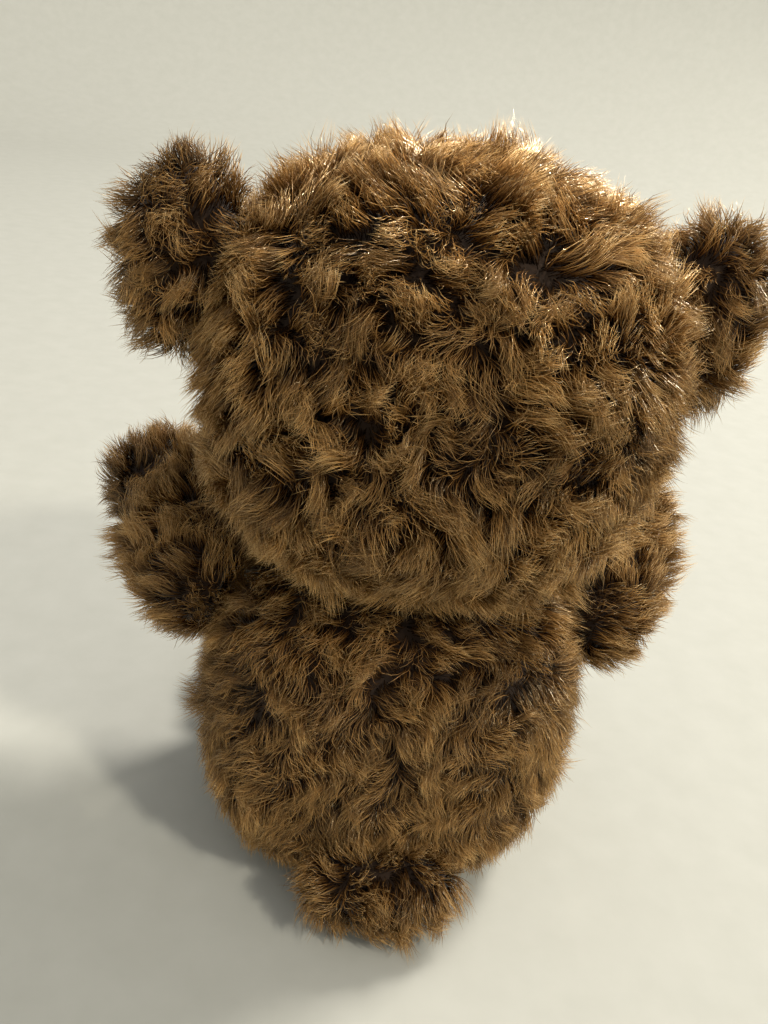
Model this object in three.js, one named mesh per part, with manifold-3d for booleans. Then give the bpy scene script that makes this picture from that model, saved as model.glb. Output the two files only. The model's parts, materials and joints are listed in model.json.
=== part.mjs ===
// Interactive plush pet: a sitting bear cub, with its neck axis upright and its face towards -Y.
// Lengths are in millimetres, +Z is up, and the floor is Z = 0.
import * as THREE from "three";
import { mergeVertices } from "three/addons/utils/BufferGeometryUtils.js";
import Module from "manifold-3d";

const wasm = await Module();
wasm.setup();
const DEG = Math.PI / 180;
const FAR = 400; // longer than the toy, for cutting tools that run right through it
const SIDES = [1, -1]; // the toy's left (+X) and right (-X)
const sideName = (side) => (side > 0 ? "left" : "right");

// ---- Driving sizes ----

const GAP = 0.3; // between two pieces that touch
const SOFT_GAP = 1.5; // between fur and the fur it moves past
const COAT = 4; // fur cloth with the dense foot of its pile
const SHELL = 2; // wall of the plastic shells

const TORSO = { x: 60, y: 49, up: 54, down: 77, power: 3 }; // half sizes of the furred body
const TORSO_WIDEST = 62; // height of its widest line
const TORSO_TOP = 112;
const TORSO_PADDING = { x: 9.5, y: 8 }; // fibre filling between the coat and the chassis

const CHASSIS_POWER = 4;
const CHASSIS_SPREAD = { up: 6, down: 8 }; // how far past its flat ends the rounded chassis would reach
const CHASSIS_TOP_GAP = 6; // from the top of the coat down to the chassis
const BASE_THICK = 3.5;
const BASE_SCREW = { x: 27, y: 12, shaft: 1.2, head: 2.6, headHigh: 1.6, sink: 0.5, long: 10 };
const BOSS = { radius: 2.5, high: 12, ribEnd: 9.5, ribThick: 1.5 }; // screw posts, with ribs to the wall

const CELL = { radius: 5.25, long: 44.5, nub: 1, count: 3, play: 0.3 };
const BATTERY_BOX = { wall: 1.5, screwRoom: 4.6, headRoom: 1 }; // room beyond the cells
const DOOR = { lip: 0.05, lipY: 0.5, thick: 2.2, sink: 0.6, hinge: 1.1 }; // its edges lie inside the box
const DOOR_SCREW = { fromEdge: 2.7, shaft: 1.4, head: 2.3, long: 4 };
const SWITCH = { x: 28.7, travel: 4, knob: 4, wide: 2.4, flange: 7, sink: 0.5 };

const SPEAKER = { radius: 15, deep: 6, z: 44, rim: 2, skin: 0.8, magnet: 7, magnetDeep: 4 };
const BOARD = { x: 36, thick: 1.6, low: 30, high: 92, y: 26.5 };
const BACK_PLATE = { radius: 11, z: 84, thick: 2.4 };
const TACT_SWITCH = { size: 6, high: 2.6 };

const DECK = { z: 62, thick: 2 };
const MOTOR = { radius: 10, long: 24, shaft: 1, nose: 3 };
const MOTOR_PINION = { teeth: 12, module: 0.8, width: 5 };
const STEP_GEAR = { teeth: 30, module: 0.8, width: 4 };
const STEP_PINION = { teeth: 12, module: 1, width: 7 };
const NECK_GEAR = { teeth: 36, module: 1, width: 5, z: 80 };
const MESH_PLAY = 0.15; // added to a pair of gears' centre distance
const MOTOR_BEARING = 135; // degrees, from the step gear towards the motor
const GEAR_PIN = 1.5;

const NECK = { radius: 9, bore: 7, flange: 14, flangeThick: 2, flangeLift: 2.5 };
const NECK_BEARING = { radius: 13, flange: 16, flangeThick: 2, deep: 6 };
const NECK_CREASE = 1; // upright gap between the body's coat and the rim of the head's
const BODY_NECK_HOLE = 18;
const HEAD_NECK_HOLE = 26;

const HEAD = { x: 65, y: 57, up: 60, down: 60, power: 2.6 }; // half sizes of the furred head
const HEAD_PADDING = 7;

const EYE = { x: 24, z: 11, radius: 10, stem: 3 };
const LID = { play: 0.6, thick: 1.2, from: 58, to: 148, stub: 1.5, crank: 6 };
const MUZZLE = { x: 25, y: 17, up: 12, down: 12, power: 2.4 };
const MUZZLE_AT = { y: 60, z: -12 };
const MOUTH_TOP = -22; // underside of the muzzle
const MOUTH_GAP = 3.5;
const NOSE = { x: 8, y: 6, up: 5, down: 5, power: 2.2 };
const NOSE_SINK = 1; // how far its middle lies behind the muzzle's front
const CHIN = { x: 17, y: 15, up: 8, down: 8, power: 2.4 };
const CHIN_AT = { y: 62, z: -29 };
const JAW = { y: 28, z: -29, open: 18, wide: 16, thick: 3, reach: 64, hub: 4, pin: 1.5, tail: 26 };
const MOUTH_HOLE = { back: 33, play: 3 }; // where the jaw passes through the face, and the room round it
const TONGUE = { x: 9, y: 9, up: 1.3, down: 1.3, power: 2 };
const TONGUE_Y = 65;

const FRAME = { y: 12, thick: 2, inset: 18, low: -40, high: 40, side: 33, sideDeep: 34 };
const CAM = { y: 8, z: -6, shaft: 2, end: 3, disc: 6, throw: 2, width: 3, first: -8, pitch: 8, count: 3 };
const CAM_GEAR = { teeth: 24, module: 0.8, width: 5, x: 28 };
const FACE_MOTOR_BEARING = -45; // degrees, from the camshaft towards the motor
const HEAD_PLATE = { radius: 13, y: 14, thick: 2.5 };
const PAT_TRAVEL = 2;

const EAR = { x: 16, y: 13, up: 26, down: 26, power: 2.2 };
const EAR_AT = { x: 74, z: 27 };
const EAR_PIVOT = { x: 47.5, z: 21, swing: 12 };
const EAR_LEVER = { hub: 3.5, pin: 1.2, long: 8, bar: 3, paddle: 2, paddleY: 8, paddleZ: 20 };

const SHOULDER = { out: 7, z: 96, radius: 17 }; // out from the side of the body
const PAW = { out: 22, y: -36, z: 110, radius: 17 };
const ARM_SWING = { back: -25, front: 40, steps: 5 }; // degrees
const ARM_CORE = { radius: 4.5, flange: 6, flangeThick: 2, disc: 10, discThick: 3, discIn: 4, tail: 14 };

const HIP = { x: 28, y: -18, z: 20, radius: 19 };
const ANKLE = { x: 36, y: -70, z: 19, radius: 18 };
const SOLE = { radius: 14, thick: 3, y: -84 };
const TAIL = { x: 25, y: 14, up: 12, down: 12, power: 2.2 };
const TAIL_AT = { y: 50, z: 17 };

const BIG_LUMP = 18; // facets around a large soft shape, and half as many from top to bottom
const SMALL_LUMP = 12;
const ROUND = 18; // sides of a round part
const SMALL_ROUND = 8;

// ---- Sizes that follow from them ----

const CHASSIS_LOW = BASE_THICK + GAP;
const CHASSIS_HIGH = TORSO_TOP - CHASSIS_TOP_GAP;
const CHASSIS_MIDDLE = (CHASSIS_LOW + CHASSIS_HIGH) / 2;
const CHASSIS = {
  x: TORSO.x - COAT - TORSO_PADDING.x,
  y: TORSO.y - COAT - TORSO_PADDING.y,
  up: CHASSIS_HIGH - CHASSIS_MIDDLE + CHASSIS_SPREAD.up,
  down: CHASSIS_MIDDLE - CHASSIS_LOW + CHASSIS_SPREAD.down,
  power: CHASSIS_POWER,
};
const HEAD_RIM = HEAD.down * (1 - (HEAD_NECK_HOLE / HEAD.x) ** HEAD.power) ** (1 / HEAD.power);
const HEAD_Z = TORSO_TOP + NECK_CREASE + HEAD_RIM;
const SKULL_GROW = -COAT - HEAD_PADDING;
const SKULL_Y = HEAD.y + SKULL_GROW;
const FRAME_X = HEAD.x + SKULL_GROW - SHELL - FRAME.inset;
const EYE_HOLE = EYE.radius + LID.play + LID.thick + 2 * GAP;
const LID_REACH = EYE_HOLE - GAP; // from the middle of an eye to the end of its lid's stub
const pitchRadius = ({ teeth, module }) => (teeth * module) / 2;
const meshDistance = (a, b) => pitchRadius(a) + pitchRadius(b) + MESH_PLAY;
const STEP_X = meshDistance(NECK_GEAR, STEP_PINION);
const TURN_MOTOR_AWAY = meshDistance(STEP_GEAR, MOTOR_PINION);
const TURN_MOTOR_X = STEP_X + TURN_MOTOR_AWAY * Math.cos(MOTOR_BEARING * DEG);
const TURN_MOTOR_Y = TURN_MOTOR_AWAY * Math.sin(MOTOR_BEARING * DEG);
const FACE_MOTOR_AWAY = meshDistance(CAM_GEAR, MOTOR_PINION);
const FACE_MOTOR_Y = CAM.y + FACE_MOTOR_AWAY * Math.cos(FACE_MOTOR_BEARING * DEG);
const FACE_MOTOR_Z = CAM.z + FACE_MOTOR_AWAY * Math.sin(FACE_MOTOR_BEARING * DEG);
const STEP_GEAR_Z = DECK.z + DECK.thick + MOTOR.nose;
const CELL_PITCH = 2 * CELL.radius + CELL.play;
const BATTERY_X = CELL.long + 2 * (CELL.play + BATTERY_BOX.wall);
const CELL_Z = CHASSIS_LOW + CELL.radius + CELL.play;
const BATTERY_Y = CELL.count * CELL_PITCH + 2 * BATTERY_BOX.wall + BATTERY_BOX.screwRoom;
const BATTERY_Z = 2 * CELL.radius + BATTERY_BOX.wall + BATTERY_BOX.headRoom;
const CELLS_Y = -BATTERY_Y / 2 + BATTERY_BOX.wall + CELL_PITCH / 2; // middle of the foremost cell
const DOOR_X = BATTERY_X - 2 * DOOR.lip;
const DOOR_Y = BATTERY_Y - 2 * DOOR.lipY;
const SOLE_FRONT = SOLE.y - SOLE.thick - GAP;
const TAIL_BACK = TAIL_AT.y + TAIL.y;
const FOOTPRINT_SHIFT = -(SOLE_FRONT + TAIL_BACK) / 2; // puts the origin under the middle of the toy

// ---- Materials ----

const material = (color, roughness, metalness = 0) =>
  new THREE.MeshStandardMaterial({ color, roughness, metalness });
const fur = () => material(0x6b4a28, 0.85);
const suede = () => material(0xb08a5e, 0.9);
const felt = () => material(0xc8707a, 0.9);
const fibre = () => material(0xe8e4da, 0.95);
const shellPlastic = () => material(0xb9b4aa, 0.55);
const gearPlastic = () => material(0xf0ece0, 0.45);
const darkPlastic = () => material(0x24221f, 0.45);
const gloss = () => material(0x140d08, 0.12);
const steel = () => material(0xa8abad, 0.35, 0.9);
const cellWrap = () => material(0x3b6a8c, 0.4, 0.2);
const circuit = () => material(0x1f5a34, 0.5);
const paper = () => material(0x4a4640, 0.8);

// ---- Geometry helpers ----

function solid(geometry) {
  const bare = geometry.clone();
  bare.deleteAttribute("normal");
  bare.deleteAttribute("uv");
  const merged = mergeVertices(bare);
  const vertProperties = merged.getAttribute("position").array;
  const triVerts = new Uint32Array(merged.index.array);
  return new wasm.Manifold(new wasm.Mesh({ numProp: 3, vertProperties, triVerts }));
}

function geometryOf(manifold) {
  const { vertProperties, triVerts } = manifold.getMesh();
  const geometry = new THREE.BufferGeometry();
  geometry.setAttribute("position", new THREE.BufferAttribute(vertProperties, 3));
  geometry.setIndex(new THREE.BufferAttribute(triVerts, 1));
  return geometry;
}

function join(first, ...others) {
  return geometryOf(others.reduce((whole, other) => whole.add(solid(other)), solid(first)));
}

function cut(first, ...tools) {
  return geometryOf(tools.reduce((rest, tool) => rest.subtract(solid(tool)), solid(first)));
}

function shared(first, second) {
  return geometryOf(solid(first).intersect(solid(second)));
}

// A block of the given sizes, centred on a point.
function block(x, y, z, at = [0, 0, 0]) {
  return new THREE.BoxGeometry(x, y, z).translate(...at);
}

// Everything between two heights.
function layer(low, high) {
  return block(FAR, FAR, high - low, [0, 0, (low + high) / 2]);
}

// A round bar along an axis, centred on a point.
function bar(radius, long, axis, at = [0, 0, 0], sides = ROUND) {
  const geometry = new THREE.CylinderGeometry(radius, radius, long, sides);
  if (axis === "x") geometry.rotateZ(-90 * DEG);
  if (axis === "z") geometry.rotateX(90 * DEG);
  return geometry.translate(...at);
}

// A rounded lump: a ball squared off by its power, with half sizes across, in depth, up and down.
function lump({ x, y, up, down, power }, grow = 0, at = [0, 0, 0], facets = SMALL_LUMP) {
  const geometry = new THREE.SphereGeometry(1, facets, facets / 2).rotateX(90 * DEG);
  const points = geometry.getAttribute("position");
  const p = new THREE.Vector3();
  for (let i = 0; i < points.count; i += 1) {
    p.fromBufferAttribute(points, i);
    const sum = Math.abs(p.x) ** power + Math.abs(p.y) ** power + Math.abs(p.z) ** power;
    p.multiplyScalar(sum ** (-1 / power));
    const z = p.z * (grow + (p.z > 0 ? up : down));
    points.setXYZ(i, p.x * (x + grow), p.y * (y + grow), z);
  }
  return geometry.translate(...at);
}

// A tapered bar with round ends, from one ball to another.
function limb(start, end) {
  const from = new THREE.Vector3(start.x, start.y ?? 0, start.z);
  const to = new THREE.Vector3(end.x, end.y ?? 0, end.z);
  const profile = new THREE.Path();
  profile.absarc(0, 0, start.radius, -90 * DEG, 0);
  profile.absarc(0, from.distanceTo(to), end.radius, 0, 90 * DEG);
  const outline = profile.getPoints(4);
  outline[0].x = 0;
  outline[outline.length - 1].x = 0;
  const geometry = new THREE.LatheGeometry(outline, SMALL_LUMP);
  const along = to.clone().sub(from).normalize();
  geometry.applyQuaternion(new THREE.Quaternion().setFromUnitVectors(new THREE.Vector3(0, 1, 0), along));
  return geometry.translate(from.x, from.y, from.z);
}

// A geometry turned about a line through a point, parallel to X, Y or Z.
function turned(geometry, axis, degrees, at) {
  const copy = geometry.clone().translate(-at[0], -at[1], -at[2]);
  if (axis === "x") copy.rotateX(degrees * DEG);
  if (axis === "y") copy.rotateY(degrees * DEG);
  return copy.translate(...at);
}

// A spur gear about Z with one tooth's middle at the phase angle, in degrees.
function gear({ teeth, module, width }, phase, z, bore) {
  const pitch = pitchRadius({ teeth, module });
  const step = 360 / teeth;
  const corners = [
    [-0.29, -1.3],
    [-0.12, 0.85],
    [0.12, 0.85],
    [0.29, -1.3],
  ]; // a tooth: share of the step from its middle, and modules outside the pitch circle
  const outline = [];
  for (let tooth = 0; tooth < teeth; tooth += 1) {
    for (const [share, modules] of corners) {
      const angle = (phase + (tooth + share) * step) * DEG;
      const radius = pitch + modules * module;
      outline.push(new THREE.Vector2(radius * Math.cos(angle), radius * Math.sin(angle)));
    }
  }
  const shape = new THREE.Shape(outline);
  if (bore) shape.holes.push(new THREE.Path().absarc(0, 0, bore, 0, 360 * DEG, true));
  const options = { depth: width, bevelEnabled: false, curveSegments: ROUND / 2 };
  return new THREE.ExtrudeGeometry(shape, options).translate(0, 0, z - width / 2);
}

function piece(name, geometry, finish) {
  const mesh = new THREE.Mesh(geometry, finish);
  mesh.geometry.computeVertexNormals();
  mesh.name = name;
  return mesh;
}

// ---- Body: coat, filling and chassis ----

const bodyLump = (grow) => lump(TORSO, grow, [0, 0, TORSO_WIDEST], BIG_LUMP);
const chassisLump = (grow) => lump(CHASSIS, grow, [0, 0, CHASSIS_MIDDLE], BIG_LUMP);
const shoulderHoles = (radius) => bar(radius, 2 * TORSO.x + COAT, "x", [0, 0, SHOULDER.z]);

function torsoFur() {
  const outside = shared(bodyLump(0), layer(0, TORSO_TOP));
  const inside = shared(bodyLump(-COAT), layer(-COAT, TORSO_TOP - COAT));
  const neckHole = bar(BODY_NECK_HOLE, FAR, "z", [0, 0, TORSO_TOP]);
  const coat = cut(outside, inside, shared(neckHole, layer(TORSO_TOP - 2 * COAT, FAR)));
  return piece("torso_fur", cut(coat, shoulderHoles(ARM_CORE.radius + SOFT_GAP)), fur());
}

function torsoPadding() {
  const room = shared(bodyLump(-COAT - GAP), layer(CHASSIS_LOW, TORSO_TOP - COAT - GAP));
  const neckHole = bar(BODY_NECK_HOLE, COAT * 3, "z", [0, 0, TORSO_TOP]);
  const chassisRoom = shared(chassisLump(GAP), layer(0, CHASSIS_HIGH + GAP));
  const arms = shoulderHoles(ARM_CORE.radius + SOFT_GAP);
  return piece("torso_padding", cut(room, chassisRoom, neckHole, arms), fibre());
}

// The two chassis shells meet on the plane Y = 0; front is -1 and back is +1.
function chassisShell(way) {
  const room = shared(bodyLump(-COAT - GAP), layer(CHASSIS_LOW, CHASSIS_HIGH));
  const outside = shared(chassisLump(0), room);
  const boxRoom = block(BATTERY_X + 2 * GAP, BATTERY_Y + 2 * GAP, BATTERY_Z + GAP, [
    0,
    0,
    CHASSIS_LOW + BATTERY_Z / 2,
  ]);
  const inside = shared(chassisLump(-SHELL), layer(0, CHASSIS_HIGH - SHELL));
  const half = block(FAR, FAR, FAR, [0, (way * (FAR + GAP)) / 2, 0]);
  const neckHole = bar(NECK_BEARING.radius + GAP, SHELL * 4, "z", [0, 0, CHASSIS_HIGH]);
  const bushes = shoulderHoles(ARM_CORE.radius + GAP);
  const wall = shared(cut(outside, inside, boxRoom, neckHole, bushes), half);
  const bosses = SIDES.map((side) => chassisBoss(side, way, outside));
  return join(wall, ...bosses);
}

// A screw boss with a rib out to the wall, and its pilot hole.
function chassisBoss(side, way, outside) {
  const rib = CHASSIS.x - BOSS.ribEnd - BASE_SCREW.x;
  const [x, y, z] = [side * BASE_SCREW.x, way * BASE_SCREW.y, CHASSIS_LOW + BOSS.high / 2];
  const post = bar(BOSS.radius, BOSS.high, "z", [x, y, z], SMALL_ROUND);
  const web = block(rib, BOSS.ribThick, BOSS.high, [x + (side * rib) / 2, y, z]);
  const pilot = bar(BASE_SCREW.shaft + GAP, BOSS.high * 2, "z", [x, y, z], SMALL_ROUND);
  return cut(shared(join(post, web), outside), pilot);
}

function chassisFront() {
  const slots = [-2, -1, 0, 1, 2].map((row) =>
    block(SPEAKER.radius, CHASSIS.y, SPEAKER.rim, [0, -CHASSIS.y, SPEAKER.z + 2 * row * SPEAKER.rim]),
  );
  return piece("chassis_front", cut(chassisShell(-1), ...slots), shellPlastic());
}

function chassisBack() {
  const hole = bar(BACK_PLATE.radius + GAP, CHASSIS.y, "y", [0, CHASSIS.y, BACK_PLATE.z]);
  return piece("chassis_back", cut(chassisShell(1), hole), shellPlastic());
}

function neckBearing() {
  const sleeve = bar(NECK_BEARING.radius, NECK_BEARING.deep, "z", [0, 0, CHASSIS_HIGH - SHELL]);
  const z = CHASSIS_HIGH + GAP + NECK_BEARING.flangeThick / 2;
  const flange = bar(NECK_BEARING.flange, NECK_BEARING.flangeThick, "z", [0, 0, z]);
  const bore = bar(NECK.radius + GAP, FAR, "z");
  return piece("neck_bearing", cut(join(sleeve, flange), bore), gearPlastic());
}

// ---- Base, battery box, door and switch ----

function basePlate() {
  const plate = shared(bodyLump(-COAT - GAP), layer(0, BASE_THICK));
  const hatch = block(DOOR_X + 2 * GAP, DOOR_Y + 2 * GAP, FAR);
  const travel = SWITCH.knob + SWITCH.travel + 2 * GAP;
  const slot = block(SWITCH.wide + 2 * GAP, travel, FAR, [SWITCH.x, SWITCH.travel / 2, 0]);
  const screws = SIDES.flatMap((side) => [-1, 1].map((way) => baseScrewHole(side, way)));
  return piece("base_plate", cut(plate, hatch, slot, ...screws), darkPlastic());
}

function baseScrewHole(side, way) {
  const at = [side * BASE_SCREW.x, way * BASE_SCREW.y];
  const deep = BASE_SCREW.sink + BASE_SCREW.headHigh + GAP;
  const sink = bar(BASE_SCREW.head + GAP, 2 * deep, "z", [...at, 0], SMALL_ROUND);
  return join(sink, bar(BASE_SCREW.shaft + GAP, FAR, "z", [...at, 0], SMALL_ROUND));
}

// The base is held by a screw at each end of one diagonal.
function baseScrew(way) {
  const { x, y, shaft, head, headHigh, sink, long } = BASE_SCREW;
  const headBar = bar(head, headHigh, "z", [0, 0, sink + headHigh / 2], SMALL_ROUND);
  const shank = bar(shaft, long, "z", [0, 0, sink + headHigh + long / 2], SMALL_ROUND);
  const cross = block(head, headHigh / 2, headHigh, [0, 0, sink]);
  const screw = piece(`base_screw_${way < 0 ? "front" : "back"}`, cut(join(headBar, shank), cross), steel());
  screw.position.set(way * x, way * y, 0);
  return screw;
}

function batteryBox() {
  const { wall } = BATTERY_BOX;
  const outside = block(BATTERY_X, BATTERY_Y, BATTERY_Z, [0, 0, CHASSIS_LOW + BATTERY_Z / 2]);
  const deep = 2 * CELL.radius + 2 * CELL.play;
  const cells = CELL_PITCH * CELL.count + CELL.play;
  const middle = -BATTERY_Y / 2 + wall + cells / 2;
  const bay = block(BATTERY_X - 2 * wall, cells, 2 * deep, [0, middle, CHASSIS_LOW]);
  const screw = bar(DOOR_SCREW.shaft + 3 * GAP, 2 * deep, "z", [0, doorScrewY(), CHASSIS_LOW], SMALL_ROUND);
  return piece("battery_box", cut(outside, bay, screw), darkPlastic());
}

function cell(index) {
  const { radius, long, nub } = CELL;
  const can = bar(radius, long - nub, "x", [-nub / 2, 0, 0]);
  const tip = bar(radius / 3, 2 * nub, "x", [long / 2 - nub, 0, 0], SMALL_ROUND);
  const mesh = piece(`cell_${index + 1}`, join(can, tip), cellWrap());
  mesh.position.set(0, CELLS_Y + index * CELL_PITCH, CELL_Z);
  mesh.rotation.z = index % 2 ? Math.PI : 0;
  return mesh;
}

const doorScrewY = () => DOOR_Y / 2 - DOOR_SCREW.fromEdge;

// The door hangs on a rib along its front edge and closes under the cells.
function batteryDoor() {
  const z = DOOR.sink + DOOR.thick / 2;
  const panel = block(DOOR_X, DOOR_Y, DOOR.thick, [0, 0, z]);
  const knuckle = bar(DOOR.hinge, DOOR_X, "x", [0, DOOR.hinge - DOOR_Y / 2, z], SMALL_ROUND);
  const corner = block(FAR, DOOR.hinge, FAR, [0, DOOR.hinge / 2 - DOOR_Y / 2, 0]);
  const sink = bar(DOOR_SCREW.head + GAP, DOOR.thick, "z", [0, doorScrewY(), DOOR.sink], SMALL_ROUND);
  const hole = bar(DOOR_SCREW.shaft + GAP, FAR, "z", [0, doorScrewY(), 0], SMALL_ROUND);
  return piece("battery_door", cut(join(cut(panel, corner), knuckle), sink, hole), darkPlastic());
}

function doorScrew() {
  const high = DOOR.thick / 2 - GAP;
  const head = bar(DOOR_SCREW.head, high, "z", [0, 0, high / 2], SMALL_ROUND);
  const shank = bar(DOOR_SCREW.shaft, DOOR_SCREW.long, "z", [0, 0, DOOR_SCREW.long / 2], SMALL_ROUND);
  const cross = block(DOOR_SCREW.head, high / 2, high);
  const screw = piece("door_screw", cut(join(head, shank), cross), steel());
  screw.position.set(0, doorScrewY(), DOOR.sink);
  return screw;
}

function switchSlider() {
  const top = BASE_THICK + 2 * GAP;
  const knob = block(SWITCH.wide, SWITCH.knob, top - SWITCH.sink, [0, 0, (top + SWITCH.sink) / 2]);
  const grip = block(SWITCH.wide, SWITCH.knob / 4, SWITCH.sink * 2, [0, 0, SWITCH.sink]);
  const flange = block(SWITCH.wide + 3 * GAP, SWITCH.flange, SHELL, [0, 0, top + SHELL / 2]);
  const slider = piece("switch_slider", join(cut(knob, grip), flange), gearPlastic());
  slider.position.x = SWITCH.x;
  return slider;
}

// ---- Electronics and the drive that turns the head ----

const speakerBack = () => -CHASSIS.y + SHELL + SOFT_GAP + SPEAKER.deep;

function speakerFrame() {
  const { radius, deep, z, rim, magnet, magnetDeep } = SPEAKER;
  const back = speakerBack();
  const basket = bar(radius, deep, "y", [0, back - deep / 2, z]);
  const room = bar(radius - rim, deep, "y", [0, back - deep / 2 - rim, z]);
  const pot = bar(magnet, magnetDeep, "y", [0, back + magnetDeep / 2, z]);
  return piece("speaker_frame", join(cut(basket, room), pot), steel());
}

function speakerCone() {
  const { radius, deep, z, rim, skin } = SPEAKER;
  const wide = radius - rim - GAP;
  const narrow = wide / 3;
  const profile = new THREE.Path([
    new THREE.Vector2(0, 0),
    new THREE.Vector2(narrow, 0),
    new THREE.Vector2(wide, deep - rim - skin),
    new THREE.Vector2(wide, deep - rim),
    new THREE.Vector2(narrow, skin),
    new THREE.Vector2(0, skin),
  ]);
  const cone = new THREE.LatheGeometry(profile.getPoints(), ROUND).rotateX(180 * DEG);
  return piece("speaker_cone", cone.translate(0, speakerBack() - rim - GAP, z), paper());
}

function circuitBoard() {
  const { x, thick, low, high, y } = BOARD;
  const board = block(x, thick, high - low, [0, y, (low + high) / 2]);
  const { size, high: tall } = TACT_SWITCH;
  const button = block(size, tall + thick, size, [0, y + tall / 2, BACK_PLATE.z]);
  const chip = block(size * 2, thick * 2, size * 2, [0, y + thick / 2, low + size * 2]);
  const socket = block(size * 2, thick * 3, size, [x / 4, y + thick, (low + high) / 2]);
  return piece("circuit_board", join(board, button, chip, socket), circuit());
}

// A plate in the back shell, which pushes the switch behind it when the toy is stroked.
function backPatPlate() {
  const rod = bar(BACK_PLATE.radius, CHASSIS.y, "y", [0, CHASSIS.y, BACK_PLATE.z]);
  const skin = cut(chassisLump(0), chassisLump(-BACK_PLATE.thick));
  return piece("back_pat_plate", shared(skin, rod), gearPlastic());
}

function driveDeck() {
  const { z, thick } = DECK;
  const plate = shared(chassisLump(-SHELL - GAP), layer(z, z + thick));
  const shaft = bar(MOTOR.shaft + 2 * GAP, FAR, "z", [TURN_MOTOR_X, TURN_MOTOR_Y, 0], SMALL_ROUND);
  const pin = bar(GEAR_PIN + GAP, FAR, "z", [STEP_X, 0, 0], SMALL_ROUND);
  const boardFront = BOARD.y - BOARD.thick / 2 - GAP;
  const board = block(BOARD.x + 2 * GAP, FAR, FAR, [0, boardFront + FAR / 2, 0]);
  return piece("drive_deck", cut(plate, shaft, pin, board), shellPlastic());
}

function gearPin() {
  const low = DECK.z - SHELL;
  const high = NECK_GEAR.z + STEP_PINION.width / 2 + GAP;
  const pin = bar(GEAR_PIN, high - low, "z", [0, 0, (low + high) / 2], SMALL_ROUND);
  const mesh = piece("gear_pin", pin, steel());
  mesh.position.x = STEP_X;
  return mesh;
}

// A motor about Z with its shaft's end at the top.
function motorCan(noseHigh) {
  const can = bar(MOTOR.radius, MOTOR.long, "z", [0, 0, -MOTOR.long / 2]);
  const shaft = bar(MOTOR.shaft, noseHigh, "z", [0, 0, noseHigh / 2], SMALL_ROUND);
  const cap = bar(MOTOR.radius / 3, MOTOR.nose, "z", [0, 0, -MOTOR.long - MOTOR.nose / 2], SMALL_ROUND);
  return join(can, shaft, cap);
}

function turnMotor() {
  const reach = DECK.thick + MOTOR.nose + MOTOR_PINION.width;
  const motor = piece("turn_motor", motorCan(reach), steel());
  motor.position.set(TURN_MOTOR_X, TURN_MOTOR_Y, DECK.z - GAP);
  return motor;
}

function turnMotorPinion() {
  const phase = MOTOR_BEARING + 180 + 180 / MOTOR_PINION.teeth;
  const wheel = gear(MOTOR_PINION, phase, STEP_GEAR_Z, MOTOR.shaft + GAP);
  const pinion = piece("turn_motor_pinion", wheel, gearPlastic());
  pinion.position.set(TURN_MOTOR_X, TURN_MOTOR_Y, 0);
  return pinion;
}

// One moulding: a wide gear driven by the motor, under a pinion that drives the neck gear.
function stepGear() {
  const wide = gear(STEP_GEAR, MOTOR_BEARING, STEP_GEAR_Z);
  const narrow = gear(STEP_PINION, 180 + 180 / STEP_PINION.teeth, NECK_GEAR.z);
  const low = STEP_GEAR_Z - STEP_GEAR.width / 2;
  const hubRadius = pitchRadius(STEP_PINION) - 2 * STEP_PINION.module;
  const hub = bar(hubRadius, NECK_GEAR.z - low, "z", [0, 0, (low + NECK_GEAR.z) / 2]);
  const bore = bar(GEAR_PIN + GAP, FAR, "z", [0, 0, 0], SMALL_ROUND);
  const mesh = piece("step_gear", cut(join(wide, hub, narrow), bore), gearPlastic());
  mesh.position.x = STEP_X;
  return mesh;
}

function neckGear() {
  return piece("neck_gear", gear(NECK_GEAR, 0, NECK_GEAR.z - HEAD_Z, NECK.radius + GAP), gearPlastic());
}

// ---- Legs, tail and arms ----

function legFur(side) {
  const reach = limb({ ...HIP, x: side * HIP.x }, { ...ANKLE, x: side * ANKLE.x });
  const toes = block(FAR, FAR, FAR, [0, SOLE.y - FAR / 2, 0]);
  return piece(`leg_${sideName(side)}_fur`, cut(reach, toes, bodyLump(2 * GAP)), fur());
}

function sole(side) {
  const pad = bar(SOLE.radius, SOLE.thick, "y", [0, SOLE.y - GAP - SOLE.thick / 2, 0]);
  const mesh = piece(`sole_${sideName(side)}`, pad, suede());
  mesh.position.set(side * ANKLE.x, 0, ANKLE.z);
  return mesh;
}

function tailFur() {
  const tuft = lump(TAIL, 0, [0, TAIL_AT.y, TAIL_AT.z]);
  return piece("tail_fur", cut(tuft, bodyLump(2 * GAP)), fur());
}

// The plastic hub that the arm turns on: a bar through the chassis wall, with a disc in the arm.
function armCoreShape(side, grow) {
  const { radius, flange, flangeThick, disc, discThick, tail } = ARM_CORE;
  const inner = CHASSIS.x - tail - flangeThick;
  const outer = TORSO.x + SHOULDER.out - ARM_CORE.discIn;
  const long = outer - inner + grow;
  const at = (x) => [side * x, 0, SHOULDER.z];
  const rod = bar(radius + grow, long, "x", at((inner + outer) / 2));
  const catchRing = bar(flange + grow, flangeThick + 2 * grow, "x", at(inner + flangeThick / 2));
  const armDisc = bar(disc + grow, discThick + 2 * grow, "x", at(outer + discThick / 2));
  return join(rod, catchRing, armDisc);
}

function armCore(side) {
  return piece(`arm_${sideName(side)}_core`, armCoreShape(side, 0), gearPlastic());
}

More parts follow.
